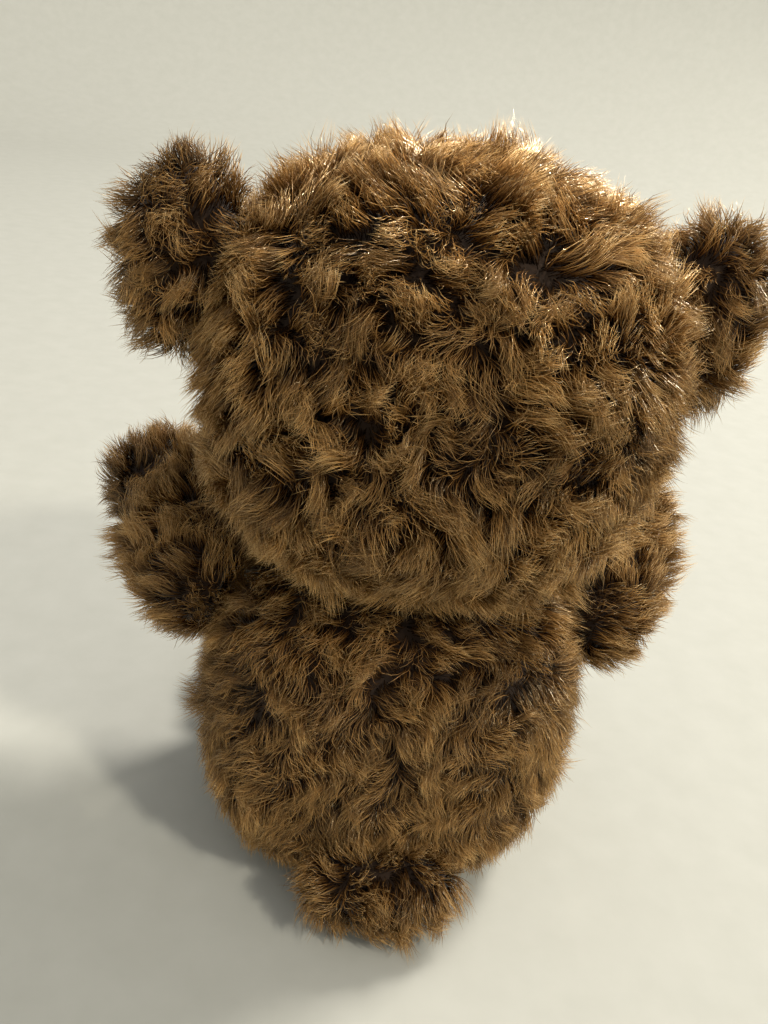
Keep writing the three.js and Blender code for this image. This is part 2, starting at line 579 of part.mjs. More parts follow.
// The arm is cut back wherever the body would meet it within its swing.
function armFur(side) {
  const place = (end) => ({ ...end, x: side * (TORSO.x + end.out) });
  const reach = limb(place(SHOULDER), place(PAW));
  const { back, front, steps } = ARM_SWING;
  const bodies = Array.from({ length: steps }, (_, index) => {
    const angle = back + ((front - back) * index) / (steps - 1);
    return turned(bodyLump(SOFT_GAP), "x", angle, [0, 0, SHOULDER.z]);
  });
  return piece(`arm_${sideName(side)}_fur`, cut(reach, ...bodies, armCoreShape(side, GAP)), fur());
}

// ---- Head: everything here is measured from the head's middle ----

const headLump = (grow) => lump(HEAD, grow, [0, 0, 0], BIG_LUMP);

// The openings that pass through the coat, the padding and the skull.
function headOpenings() {
  const eyes = SIDES.map((side) =>
    bar(EYE_HOLE, HEAD.y, "y", [side * EYE.x, -SKULL_Y - HEAD.y / 4, EYE.z]),
  );
  const drop = (HEAD.y - JAW.y) * Math.sin(JAW.open * DEG);
  const high = JAW.thick + 2 * MOUTH_HOLE.play + drop;
  const at = [0, -MOUTH_HOLE.back - HEAD.y / 2, JAW.z - drop / 2];
  const mouth = block(JAW.wide + 2 * MOUTH_HOLE.play, HEAD.y, high, at);
  const ears = SIDES.map((side) => {
    const long = EAR_AT.x - EAR_PIVOT.x + 2 * EAR_LEVER.hub;
    const middle = side * (EAR_PIVOT.x + long / 2 - EAR_LEVER.hub - GAP);
    return block(long, EAR_LEVER.long + SHELL, 4 * EAR_LEVER.hub, [middle, 0, EAR_PIVOT.z]);
  });
  return [...eyes, mouth, ...ears];
}

const headNeckHole = () => bar(HEAD_NECK_HOLE, HEAD.down / 2, "z", [0, 0, -HEAD.down]);

function headFur() {
  return piece("head_fur", cut(headLump(0), headLump(-COAT), headNeckHole(), ...headOpenings()), fur());
}

// The lids' axle and its crank turn in a slot between the eyes.
function axleSlot() {
  const deep = 2 * (LID.stub + LID.crank);
  const high = LID.crank + 2 * LID.stub + 2 * GAP;
  const z = EYE.z + LID.crank / 2;
  return block(2 * EYE.x, deep, high, [0, -SKULL_Y - LID.stub - GAP + deep / 2, z]);
}

function headPadding() {
  const inner = headLump(SKULL_GROW + GAP);
  const pad = cut(headLump(-COAT - GAP), inner, headNeckHole(), axleSlot(), ...headOpenings());
  return piece("head_padding", pad, fibre());
}

function skullShell(name, way, ...tools) {
  const half = block(FAR, FAR, FAR, [0, (way * (FAR + GAP)) / 2, 0]);
  const neckHole = bar(NECK.radius + GAP, HEAD.down, "z", [0, 0, -HEAD.down]);
  const hollow = cut(headLump(SKULL_GROW), headLump(SKULL_GROW - SHELL));
  const wall = cut(hollow, neckHole, axleSlot(), ...headOpenings(), ...tools);
  return piece(name, shared(wall, half), shellPlastic());
}

const headPlateRod = (radius) => bar(radius, HEAD.up, "z", [0, HEAD_PLATE.y, HEAD.up]);

function headPatPlate() {
  const skin = cut(headLump(SKULL_GROW), headLump(SKULL_GROW - HEAD_PLATE.thick));
  return piece("head_pat_plate", shared(skin, headPlateRod(HEAD_PLATE.radius)), gearPlastic());
}

function headSwitch() {
  const { size } = TACT_SWITCH;
  const top = HEAD.up + SKULL_GROW - HEAD_PLATE.thick - PAT_TRAVEL - SHELL;
  const high = top - FRAME.high - GAP;
  return piece("head_switch", block(size, size, high, [0, HEAD_PLATE.y, top - high / 2]), darkPlastic());
}

function neckTube() {
  const { radius, bore, flange, flangeThick, flangeLift } = NECK;
  const top = -HEAD.down - SKULL_GROW + SHELL + flangeLift + flangeThick;
  const low = NECK_GEAR.z - HEAD_Z - NECK_GEAR.width / 2 - GAP;
  const tube = bar(radius, top - low, "z", [0, 0, (top + low) / 2]);
  const collar = bar(flange, flangeThick, "z", [0, 0, top - flangeThick / 2]);
  return piece("neck_tube", cut(join(tube, collar), bar(bore, FAR, "z")), gearPlastic());
}

// ---- Eyes and lids ----

function eyeball(side) {
  const ball = new THREE.SphereGeometry(EYE.radius, SMALL_LUMP, SMALL_LUMP / 2);
  const long = SKULL_Y - FRAME.y - GAP;
  const stem = bar(EYE.stem, long, "y", [0, long / 2, 0], SMALL_ROUND);
  const eye = piece(`eyeball_${sideName(side)}`, join(ball, stem), gloss());
  eye.position.set(side * EYE.x, -SKULL_Y, EYE.z);
  return eye;
}

// An upper lid: a slice of a hollow ball about the eye's X axis, with a stub at each end.
function eyelid(side) {
  const inner = EYE.radius + LID.play;
  const outer = inner + LID.thick;
  const hollow = cut(
    new THREE.SphereGeometry(outer, ROUND, SMALL_LUMP / 2).rotateZ(90 * DEG),
    new THREE.SphereGeometry(inner, ROUND, SMALL_LUMP / 2).rotateZ(90 * DEG),
  );
  const sector = new THREE.Shape();
  sector.moveTo(0, 0);
  sector.lineTo(2 * outer * Math.cos(LID.from * DEG), 2 * outer * Math.sin(LID.from * DEG));
  sector.absarc(0, 0, 2 * outer, LID.from * DEG, LID.to * DEG);
  const options = { depth: 4 * outer, bevelEnabled: false, curveSegments: SMALL_ROUND };
  const wedge = new THREE.ExtrudeGeometry(sector, options);
  wedge.translate(0, 0, -2 * outer).applyMatrix4(LID_AXES);
  const stubs = SIDES.map((way) => {
    const from = inner + GAP / 2;
    return bar(LID.stub, LID_REACH - from, "x", [(way * (LID_REACH + from)) / 2, 0, 0], SMALL_ROUND);
  });
  const lid = piece(`eyelid_${sideName(side)}`, join(shared(hollow, wedge), ...stubs), fur());
  lid.position.set(side * EYE.x, -SKULL_Y, EYE.z);
  return lid;
}

// Lays a drawing down so that its X points to the front and its Y up.
const LID_AXES = new THREE.Matrix4().makeBasis(
  new THREE.Vector3(0, -1, 0),
  new THREE.Vector3(0, 0, 1),
  new THREE.Vector3(-1, 0, 0),
);

function eyelidAxle() {
  const long = 2 * (EYE.x - LID_REACH - GAP);
  const rod = bar(LID.stub, long, "x", [0, 0, 0], SMALL_ROUND);
  const crank = block(2 * LID.stub, LID.crank, LID.stub, [0, LID.crank / 2, 0]);
  const axle = piece("eyelid_axle", join(rod, crank), steel());
  axle.position.set(0, -SKULL_Y, EYE.z);
  return axle;
}

// ---- Muzzle, nose and jaw ----

const muzzleLump = (grow) => lump(MUZZLE, grow, [0, -MUZZLE_AT.y, MUZZLE_AT.z]);

function muzzleFur() {
  const whole = shared(muzzleLump(0), layer(MOUTH_TOP, FAR));
  return piece("muzzle_fur", cut(whole, headLump(2 * GAP)), fur());
}

function nose() {
  const at = [0, NOSE_SINK - MUZZLE_AT.y - MUZZLE.y, MUZZLE_AT.z + MUZZLE.up / 2];
  return piece("nose", cut(lump(NOSE, 0, at), muzzleLump(GAP)), gloss());
}

function jawShape(grow) {
  const { y, z, wide, thick, reach, hub, tail } = JAW;
  const long = reach - y;
  const plate = block(wide + 2 * grow, long + grow, thick + 2 * grow, [0, -y - long / 2, z]);
  const pivot = bar(hub, wide, "x", [0, -y, z]);
  const arm = block(hub, tail, thick, [-wide / 2 + hub / 2, -y + tail / 2, z]);
  return join(plate, pivot, arm);
}

function jawFrame() {
  const pinHole = bar(JAW.pin + GAP, FAR, "x", [0, -JAW.y, JAW.z], SMALL_ROUND);
  return piece("jaw_frame", cut(jawShape(0), pinHole), gearPlastic());
}

function jawPin() {
  return piece("jaw_pin", bar(JAW.pin, 2 * JAW.wide, "x", [0, -JAW.y, JAW.z], SMALL_ROUND), steel());
}

// The chin is cut back wherever the head would meet it as the mouth opens.
function chinFur() {
  const whole = lump(CHIN, 0, [0, -CHIN_AT.y, CHIN_AT.z]);
  const above = layer(MOUTH_TOP - MOUTH_GAP, FAR);
  const heads = [0, -0.5, -1].map((share) =>
    turned(headLump(SOFT_GAP), "x", share * JAW.open, [0, -JAW.y, JAW.z]),
  );
  return piece("chin_fur", cut(whole, above, ...heads, jawShape(GAP)), fur());
}

function tongue() {
  const z = MOUTH_TOP - MOUTH_GAP + GAP + TONGUE.down;
  return piece("tongue", lump(TONGUE, 0, [0, -TONGUE_Y, z]), felt());
}

// ---- The face's frame, motor and camshaft ----

function faceFrame() {
  const { y, thick, low, high, side, sideDeep } = FRAME;
  const wall = block(2 * FRAME_X, thick, high - low, [0, -y + thick / 2, (low + high) / 2]);
  const cheeks = SIDES.map((way) =>
    block(thick, sideDeep, sideDeep, [way * side, -y + sideDeep / 2, CAM.z - CAM.shaft]),
  );
  const lugs = SIDES.map((way) => {
    const long = JAW.y - y + JAW.hub;
    return block(thick, long, 2 * JAW.hub, [way * (JAW.wide / 2 + 2 * thick), -y - long / 2, JAW.z]);
  });
  const shelf = block(2 * TACT_SWITCH.size, HEAD_PLATE.y + y + TACT_SWITCH.size, thick, [
    0,
    (HEAD_PLATE.y - y + TACT_SWITCH.size) / 2,
    high - thick / 2,
  ]);
  const solidFrame = join(wall, ...cheeks, ...lugs, shelf);
  const inside = shared(solidFrame, headLump(SKULL_GROW - SHELL - GAP));
  const shaftHole = bar(CAM.shaft + GAP, FAR, "x", [0, CAM.y, CAM.z], SMALL_ROUND);
  const pinHole = bar(JAW.pin + GAP, FAR, "x", [0, -JAW.y, JAW.z], SMALL_ROUND);
  const drop = JAW.tail * Math.sin(JAW.open * DEG);
  const tailWindow = block(JAW.hub * 3, thick * 3, drop + 2 * JAW.thick, [
    -JAW.wide / 2,
    -y + thick / 2,
    JAW.z + drop / 2,
  ]);
  return piece("face_frame", cut(inside, shaftHole, pinHole, tailWindow), shellPlastic());
}

// Lays a part made about Z along +X, so that its X points to +Y and its Y up.
const LIE_ALONG_X = new THREE.Matrix4().makeBasis(
  new THREE.Vector3(0, 1, 0),
  new THREE.Vector3(0, 0, 1),
  new THREE.Vector3(1, 0, 0),
);
const lieAlongX = (geometry) => geometry.applyMatrix4(LIE_ALONG_X);

function faceMotor() {
  const motor = piece("face_motor", lieAlongX(motorCan(MOTOR_PINION.width + MOTOR.nose)), steel());
  motor.position.set(CAM_GEAR.x - CAM_GEAR.width / 2 - MOTOR.nose, FACE_MOTOR_Y, FACE_MOTOR_Z);
  return motor;
}

function faceMotorPinion() {
  const phase = FACE_MOTOR_BEARING + 180 + 180 / MOTOR_PINION.teeth;
  const flat = gear({ ...MOTOR_PINION, width: CAM_GEAR.width }, phase, 0, MOTOR.shaft + GAP);
  const pinion = piece("face_motor_pinion", lieAlongX(flat), gearPlastic());
  pinion.position.set(CAM_GEAR.x, FACE_MOTOR_Y, FACE_MOTOR_Z);
  return pinion;
}

function camshaft() {
  const shaft = bar(CAM.shaft, 2 * (FRAME.side + CAM.end), "x", [0, 0, 0], SMALL_ROUND);
  const cams = Array.from({ length: CAM.count }, (_, index) => {
    const angle = (index * 360 * DEG) / CAM.count;
    const x = CAM.first - index * CAM.pitch;
    return bar(CAM.disc, CAM.width, "x", [x, CAM.throw * Math.cos(angle), CAM.throw * Math.sin(angle)]);
  });
  const wheel = lieAlongX(gear(CAM_GEAR, FACE_MOTOR_BEARING, 0)).translate(CAM_GEAR.x, 0, 0);
  const mesh = piece("camshaft", join(shaft, ...cams, wheel), gearPlastic());
  mesh.position.set(0, CAM.y, CAM.z);
  return mesh;
}

// ---- Ears ----

function earLeverShape(side, grow) {
  const { hub, long, bar: thick, paddle, paddleY, paddleZ } = EAR_LEVER;
  const at = (x, z) => [side * x, 0, z];
  const pivot = bar(hub, long, "y", at(EAR_PIVOT.x, EAR_PIVOT.z), ROUND);
  const reach = EAR_AT.x - EAR_PIVOT.x;
  const middle = EAR_PIVOT.x + reach / 2;
  const arm = block(reach, thick + 2 * grow, thick + 2 * grow, at(middle, EAR_PIVOT.z));
  const blade = block(paddle + 2 * grow, paddleY + 2 * grow, paddleZ + 2 * grow, at(EAR_AT.x, EAR_AT.z));
  return join(pivot, arm, blade);
}

function earLever(side) {
  const hole = bar(EAR_LEVER.pin + GAP, FAR, "y", [side * EAR_PIVOT.x, 0, EAR_PIVOT.z], SMALL_ROUND);
  return piece(`ear_${sideName(side)}_lever`, cut(earLeverShape(side, 0), hole), gearPlastic());
}

// The ear is cut back wherever the head would meet it within its swing.
function earFur(side) {
  const whole = lump(EAR, 0, [side * EAR_AT.x, 0, EAR_AT.z]);
  const heads = [-1, 0, 1].map((way) =>
    turned(headLump(SOFT_GAP), "y", way * EAR_PIVOT.swing, [side * EAR_PIVOT.x, 0, EAR_PIVOT.z]),
  );
  return piece(`ear_${sideName(side)}_fur`, cut(whole, ...heads, earLeverShape(side, GAP)), fur());
}

// ---- Assembly ----

function headGroup() {
  const head = new THREE.Group();
  head.add(
    headFur(),
    headPadding(),
    skullShell("skull_front", -1),
    skullShell("skull_back", 1, headPlateRod(HEAD_PLATE.radius + GAP)),
    headPatPlate(),
    headSwitch(),
    neckTube(),
    neckGear(),
    muzzleFur(),
    nose(),
    eyelidAxle(),
    jawFrame(),
    jawPin(),
    chinFur(),
    tongue(),
    faceFrame(),
    faceMotor(),
    faceMotorPinion(),
    camshaft(),
  );
  SIDES.forEach((side) => head.add(eyeball(side), eyelid(side), earFur(side), earLever(side)));
  head.position.z = HEAD_Z;
  return head;
}

function bodyGroup() {
  const body = new THREE.Group();
  body.add(
    torsoFur(),
    torsoPadding(),
    tailFur(),
    chassisFront(),
    chassisBack(),
    neckBearing(),
    basePlate(),
    baseScrew(-1),
    baseScrew(1),
    batteryBox(),
    batteryDoor(),
    doorScrew(),
    switchSlider(),
    speakerFrame(),
    speakerCone(),
    circuitBoard(),
    backPatPlate(),
    driveDeck(),
    gearPin(),
    turnMotor(),
    turnMotorPinion(),
    stepGear(),
  );
  for (let index = 0; index < CELL.count; index += 1) body.add(cell(index));
  SIDES.forEach((side) => body.add(legFur(side), sole(side), armFur(side), armCore(side)));
  return body;
}

const toy = new THREE.Group();
toy.add(bodyGroup(), headGroup());
toy.position.y = FOOTPRINT_SHIFT;
const pet = new THREE.Group();
pet.add(toy);

export default pet;
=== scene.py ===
"""Interactive plush pet: the looks of a sitting bear cub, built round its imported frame, in metres."""

import json
import math

import bmesh
import bpy
import numpy as np
from mathutils import Matrix, Vector
from mathutils.bvhtree import BVHTree
from mathutils.kdtree import KDTree


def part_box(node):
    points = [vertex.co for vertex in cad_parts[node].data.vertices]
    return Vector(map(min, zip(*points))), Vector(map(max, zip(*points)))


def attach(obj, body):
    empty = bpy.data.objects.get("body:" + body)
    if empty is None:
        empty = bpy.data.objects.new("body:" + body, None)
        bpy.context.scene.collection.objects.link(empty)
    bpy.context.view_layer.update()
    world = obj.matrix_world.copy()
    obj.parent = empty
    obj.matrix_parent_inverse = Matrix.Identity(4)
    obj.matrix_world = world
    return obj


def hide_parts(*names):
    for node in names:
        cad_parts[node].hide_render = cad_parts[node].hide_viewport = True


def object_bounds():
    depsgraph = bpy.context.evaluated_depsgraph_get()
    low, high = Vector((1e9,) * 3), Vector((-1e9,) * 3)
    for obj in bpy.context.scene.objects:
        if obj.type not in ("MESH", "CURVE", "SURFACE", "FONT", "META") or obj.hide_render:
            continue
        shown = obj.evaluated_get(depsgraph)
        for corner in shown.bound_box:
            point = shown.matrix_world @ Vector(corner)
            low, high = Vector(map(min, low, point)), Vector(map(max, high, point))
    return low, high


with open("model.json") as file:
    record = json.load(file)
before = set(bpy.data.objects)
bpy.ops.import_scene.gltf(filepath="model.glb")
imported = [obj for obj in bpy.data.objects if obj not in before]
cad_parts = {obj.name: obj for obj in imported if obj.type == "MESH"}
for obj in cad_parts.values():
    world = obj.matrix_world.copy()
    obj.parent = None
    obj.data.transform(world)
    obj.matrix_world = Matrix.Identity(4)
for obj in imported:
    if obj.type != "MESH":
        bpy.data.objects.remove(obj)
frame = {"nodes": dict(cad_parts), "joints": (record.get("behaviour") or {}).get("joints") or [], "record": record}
CAD_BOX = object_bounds()
MM = 0.001
SIDES = {"left": 1, "right": -1}
FLOOR_GAP = 0.3 * MM
MAY_GROW = 0.03  # share of each side that fur may stand proud, besides MAY_ADD
MAY_ADD = 9 * MM


# ---- Small helpers ----

def node_box(name):
    low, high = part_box(name)
    return np.array(low), np.array(high)


def joint_place(name):
    return np.array(next(j for j in frame["joints"] if j["name"] == name)["pos_m"])


def unit(v):
    return v / np.maximum(np.linalg.norm(v, axis=-1, keepdims=True), 1e-9)


def smooth_step(low, high, x):
    t = np.clip((x - low) / (high - low), 0, 1)
    return t * t * (3 - 2 * t)


def waves(points, scale, seed, count=7):
    """Smooth noise of about -1 to 1: a sum of waves with seeded random directions."""
    rng = np.random.default_rng(seed)
    ways = unit(rng.normal(size=(count, 3)))
    lengths = scale * rng.uniform(0.7, 1.5, count)
    phases = rng.uniform(0, 2 * np.pi, count)
    total = np.sin(points @ (ways / lengths[:, None] * 2 * np.pi).T + phases).sum(axis=1)
    return total / math.sqrt(count)


def points_of(obj):
    flat = np.empty(len(obj.data.vertices) * 3, np.float32)
    obj.data.vertices.foreach_get("co", flat)
    return flat.reshape(-1, 3).astype(float)


def move_points(obj, points):
    obj.data.vertices.foreach_set("co", points.astype(np.float32).ravel())
    obj.data.update()


def triangles_of(obj):
    mesh = obj.data
    mesh.calc_loop_triangles()
    flat = np.empty(len(mesh.loop_triangles) * 3, np.int32)
    mesh.loop_triangles.foreach_get("vertices", flat)
    return flat.reshape(-1, 3)


def add_object(name, mesh):
    obj = bpy.data.objects.new(name, mesh)
    bpy.context.scene.collection.objects.link(obj)
    return obj


def object_from(name, verts, faces, shade_smooth=True):
    mesh = bpy.data.meshes.new(name)
    mesh.from_pydata([tuple(v) for v in verts], [], [tuple(f) for f in faces])
    mesh.validate()
    if shade_smooth:
        mesh.shade_smooth()
    return add_object(name, mesh)


def apply_modifiers(obj):
    graph = bpy.context.evaluated_depsgraph_get()
    made = bpy.data.meshes.new_from_object(obj.evaluated_get(graph))
    old = obj.data
    obj.modifiers.clear()
    obj.data = made
    bpy.data.meshes.remove(old)


# ---- Simple shapes ----

def hull_of(name, node):
    """The convex hull of a CAD node's points."""
    bm = bmesh.new()
    for v in points_of(frame["nodes"][node]):
        bm.verts.new(v)
    bmesh.ops.remove_doubles(bm, verts=bm.verts, dist=0.1 * MM)
    hull = bmesh.ops.convex_hull(bm, input=bm.verts)
    spare = set(hull["geom_interior"] + hull["geom_unused"])
    loose = [e for e in spare if isinstance(e, bmesh.types.BMVert)]
    bmesh.ops.delete(bm, geom=loose, context="VERTS")
    mesh = bpy.data.meshes.new(name)
    bm.to_mesh(mesh)
    bm.free()
    return add_object(name, mesh)


def copy_of(name, node):
    return add_object(name, frame["nodes"][node].data.copy())


def ball(name, centre, half, power=2.0, rings=32):
    """A ball squared off by its power."""
    bm = bmesh.new()
    bmesh.ops.create_uvsphere(bm, u_segments=2 * rings, v_segments=rings, radius=1)
    mesh = bpy.data.meshes.new(name)
    bm.to_mesh(mesh)
    bm.free()
    mesh.shade_smooth()
    obj = add_object(name, mesh)
    p = points_of(obj)
    p /= (np.abs(p) ** power).sum(axis=1, keepdims=True) ** (1 / power)
    move_points(obj, p * np.array(half) + np.array(centre))
    return obj


def rod(name, start, end, radius, sides=48):
    start, end = Vector(start), Vector(end)
    bm = bmesh.new()
    bmesh.ops.create_cone(
        bm, cap_ends=True, segments=sides, radius1=radius, radius2=radius, depth=(end - start).length
    )
    turn = (end - start).to_track_quat("Z", "Y").to_matrix().to_4x4()
    bm.transform(Matrix.Translation((start + end) / 2) @ turn)
    mesh = bpy.data.meshes.new(name)
    bm.to_mesh(mesh)
    bm.free()
    return add_object(name, mesh)


def brick(name, low, high):
    bm = bmesh.new()
    bmesh.ops.create_cube(bm, size=1)
    low, high = Vector(low), Vector(high)
    bm.transform(Matrix.Translation((low + high) / 2) @ Matrix.Diagonal((*(high - low), 1)))
    mesh = bpy.data.meshes.new(name)
    bm.to_mesh(mesh)
    bm.free()
    return add_object(name, mesh)


def cut_away(obj, cutters):
    """Takes the cutters out of the object, and removes them."""
    for cutter in cutters:
        mod = obj.modifiers.new("cut", "BOOLEAN")
        mod.object = cutter
        mod.operation = "DIFFERENCE"
        mod.solver = "EXACT"
    apply_modifiers(obj)
    for cutter in cutters:
        bpy.data.objects.remove(cutter)


# ---- Where things are ----

HEAD_LOW, HEAD_HIGH = node_box("head_fur")
BODY_LOW, BODY_HIGH = node_box("torso_fur")
MUZZLE_LOW, MUZZLE_HIGH = node_box("muzzle_fur")
EYE_LOW, EYE_HIGH = node_box("eyeball_left")
EYE_RADIUS = (EYE_HIGH[0] - EYE_LOW[0]) / 2
LID_PIVOT = joint_place("eyelids_close")
JAW_PIVOT = joint_place("jaw_open")
MIDDLE_Y = (BODY_LOW[1] + BODY_HIGH[1]) / 2
HEAD_HALF_HEIGHT = 60 * MM
HEAD_HALF = np.array([HEAD_HIGH[0], (HEAD_HIGH[1] - HEAD_LOW[1]) / 2, HEAD_HALF_HEIGHT])
HEAD_CENTRE = np.array([0, MIDDLE_Y, HEAD_HIGH[2] - HEAD_HALF[2]])
HEAD_POWER = 2.6
BODY_WAIST = 62 * MM  # height at which the body is widest
BODY_ABOVE = 54 * MM  # how far its upper lump reaches over the waist
BODY_BELOW = 77 * MM  # how far its lower lump would reach under the waist, past the flat base
BODY_CENTRE = np.array([0, MIDDLE_Y, BODY_WAIST])
BODY_UP = np.array([BODY_HIGH[0], BODY_HIGH[1] - MIDDLE_Y, BODY_ABOVE])
BODY_DOWN = BODY_UP * [1, 1, 0] + [0, 0, BODY_BELOW]
BODY_POWER = 3
NECK_RADIUS = {"head": 26 * MM, "body": 18 * MM}
EYE_HOLE = EYE_RADIUS + 2.4 * MM
EAR_HOLE = 6 * MM
SHOULDER_HOLE = 6 * MM
BASE_GAP = 0.3 * MM
BASE_POWER = 3


def eye_centre(side):
    return np.array([side * (EYE_LOW[0] + EYE_HIGH[0]) / 2, LID_PIVOT[1], LID_PIVOT[2]])


def clear_of(points, centre, up, down, power, gap):
    """Moves points that lie in a rounded lump, or too near it, out to the gap."""
    away = points - centre
    half = np.where(away[:, 2:] > 0, up, down) + gap
    size = (np.abs(away / half) ** power).sum(axis=1) ** (1 / power)
    inside = size < 1
    away[inside] /= np.maximum(size[inside], 0.5)[:, None]
    return centre + away


def clear_of_head(points, gap):
    return clear_of(points, HEAD_CENTRE, HEAD_HALF, HEAD_HALF, HEAD_POWER, gap)


def clear_of_body(points, gap):
    return clear_of(points, BODY_CENTRE, BODY_UP, BODY_DOWN, BODY_POWER, gap)


def clear_through_swing(points, gap):
    """Keeps an arm's points clear of the body over the whole of its swing."""
    pivot = joint_place("arm_left_swing")
    low, high = next(j for j in frame["joints"] if j["name"] == "arm_left_swing")["range_deg"]
    for angle in np.radians([low, 0, high / 2, high, 0]):
        turn = np.array(Matrix.Rotation(-angle, 3, "X"))
        turned = (points - [0, *pivot[1:]]) @ turn.T + [0, *pivot[1:]]
        turned = clear_of_body(turned, gap)
        points = (turned - [0, *pivot[1:]]) @ turn + [0, *pivot[1:]]
    return points


# ---- Padded skins ----

# For each size of skin: its voxels, how much smaller it starts before it swells, and rounds of smoothing.
EVENING = {
    "large": (4.5 * MM, 2.5 * MM, 6),
    "small": (3 * MM, 0.8 * MM, 3),
    "tiny": (2.2 * MM, 0.6 * MM, 3),
}
CLOTH_PRESSURE = 4
CLOTH_FRAMES = 20
CLOTH_STIFFNESS = 12
CLOTH_CAP = 5 * MM
SKIN_THICK = 1.5 * MM
FIT_LOOSE = 2 * MM  # gap between neighbouring skins before they swell
FIT_CLOSE = 1.2 * MM  # and after


def ready_for_stuffing(obj, voxel, inset, smoothing):
    """Evens out the mesh and draws it in a little."""
    mod = obj.modifiers.new("even", "REMESH")
    mod.mode = "VOXEL"
    mod.voxel_size = voxel
    smooth = obj.modifiers.new("smooth", "SMOOTH")
    smooth.iterations = smoothing
    apply_modifiers(obj)
    bm = bmesh.new()
    bm.from_mesh(obj.data)
    bm.normal_update()
    for v in bm.verts:
        v.co -= v.normal * inset
    bm.to_mesh(obj.data)
    bm.free()
    return obj


def stuff(skins):
    """Swells all the skins by cloth simulation, with a cap on how far a point may move."""
    scene = bpy.context.scene
    before = {o.name: points_of(o) for o in skins}
    for obj in skins:
        cloth = obj.modifiers.new("stuffing", "CLOTH")
        cloth.settings.quality = 4
        cloth.settings.use_pressure = True
        cloth.settings.uniform_pressure_force = CLOTH_PRESSURE
        cloth.settings.tension_stiffness = CLOTH_STIFFNESS
        cloth.settings.compression_stiffness = CLOTH_STIFFNESS
        cloth.settings.effector_weights.gravity = 0
        cloth.point_cache.frame_start = 1
        cloth.point_cache.frame_end = CLOTH_FRAMES
    for step in range(1, CLOTH_FRAMES + 1):
        scene.frame_set(step)
    for obj in skins:
        apply_modifiers(obj)
        start = before[obj.name]
        moved = points_of(obj) - start
        far = np.linalg.norm(moved, axis=1, keepdims=True)
        moved *= np.minimum(1, CLOTH_CAP / np.maximum(far, 1e-9))
        move_points(obj, start + moved)
    scene.frame_set(1)


def finish_skin(obj):
    """Smooths the swollen mesh and keeps it off the floor."""
    relax = obj.modifiers.new("relax", "SMOOTH")
    relax.iterations = 3
    fine = obj.modifiers.new("fine", "SUBSURF")
    fine.levels = 1
    apply_modifiers(obj)
    p = points_of(obj)
    p[:, 2] = np.maximum(p[:, 2], FLOOR_GAP)
    move_points(obj, p)
    obj.data.shade_smooth()


def hollow(obj):
    shell = obj.modifiers.new("cloth", "SOLIDIFY")
    shell.thickness = SKIN_THICK
    shell.offset = -1
    apply_modifiers(obj)


# ---- Fur made of real strands ----

TINTS = 32  # columns of the fur's colour chart
SEGMENTS = 4
STAND = 0.4  # radians from the normal where a strand leaves the cloth
LIE_RANGE = (0.55, 1.5)  # least and greatest lean at a tuft's tip, in radians
PROUD = 0.07  # share of the tufts that stand up out of the coat
PROUD_LEAN = 0.55  # their lean and their length, as shares of an ordinary tuft's
PROUD_SIZE = 1.2
CRIMP_SIZE = 9 * MM  # length of the small waves in the coat
LIE_PATCH = 24 * MM  # size of the patches where the coat lies flatter or steeper
TINT_PATCH = 45 * MM  # size of the lighter and darker patches
PIECE_STRANDS = 8500  # strands in one piece, which keeps a piece under 200,000 triangles


class Skin:
    """The outer surface of a skin, for planting fur on it."""

    def __init__(self, obj):
        self.points = points_of(obj)
        self.triangles = triangles_of(obj)
        corners = self.points[self.triangles]
        cross = np.cross(corners[:, 1] - corners[:, 0], corners[:, 2] - corners[:, 0])
        self.areas = np.linalg.norm(cross, axis=1) / 2
        normals = np.zeros_like(self.points)
        for k in range(3):
            np.add.at(normals, self.triangles[:, k], cross)
        self.normals = unit(normals)
        self.tree = BVHTree.FromPolygons(self.points.tolist(), self.triangles.tolist())

    def scatter(self, per_m2, rng):
        """Seeded random places on the surface, with their normals."""
        count = int(self.areas.sum() * per_m2)
        which = rng.choice(len(self.areas), count, p=self.areas / self.areas.sum())
        a, b = rng.random((2, count, 1))
        flip = a + b > 1
        a, b = np.where(flip, 1 - a, a), np.where(flip, 1 - b, b)
        corner = self.triangles[which]
        spots = self.points[corner[:, 0]] * (1 - a - b)
        spots += self.points[corner[:, 1]] * a + self.points[corner[:, 2]] * b
        normals = self.normals[corner[:, 0]] * (1 - a - b)
        normals += self.normals[corner[:, 1]] * a + self.normals[corner[:, 2]] * b
        return spots, unit(normals)

    def distance(self, points):
        """How far outside the surface each point lies, negative inside."""
        found = np.empty(len(points))
        for i, p in enumerate(points):
            near, normal, _, _ = self.tree.find_nearest(p)
            away = Vector(p) - near
            found[i] = math.copysign(away.length, away.dot(normal))
        return found

    def holds(self, points, margin):
        """Which points lie inside the surface, or nearer to it than the margin."""
        return self.distance(points) < margin


def tangent(vectors, normals):
    return unit(vectors - (vectors * normals).sum(axis=1, keepdims=True) * normals)


def spun(vectors, normals, angles):
    """Vectors in the surface, turned about the normals."""
    c, s = np.cos(angles)[:, None], np.sin(angles)[:, None]
    return vectors * c + np.cross(normals, vectors) * s


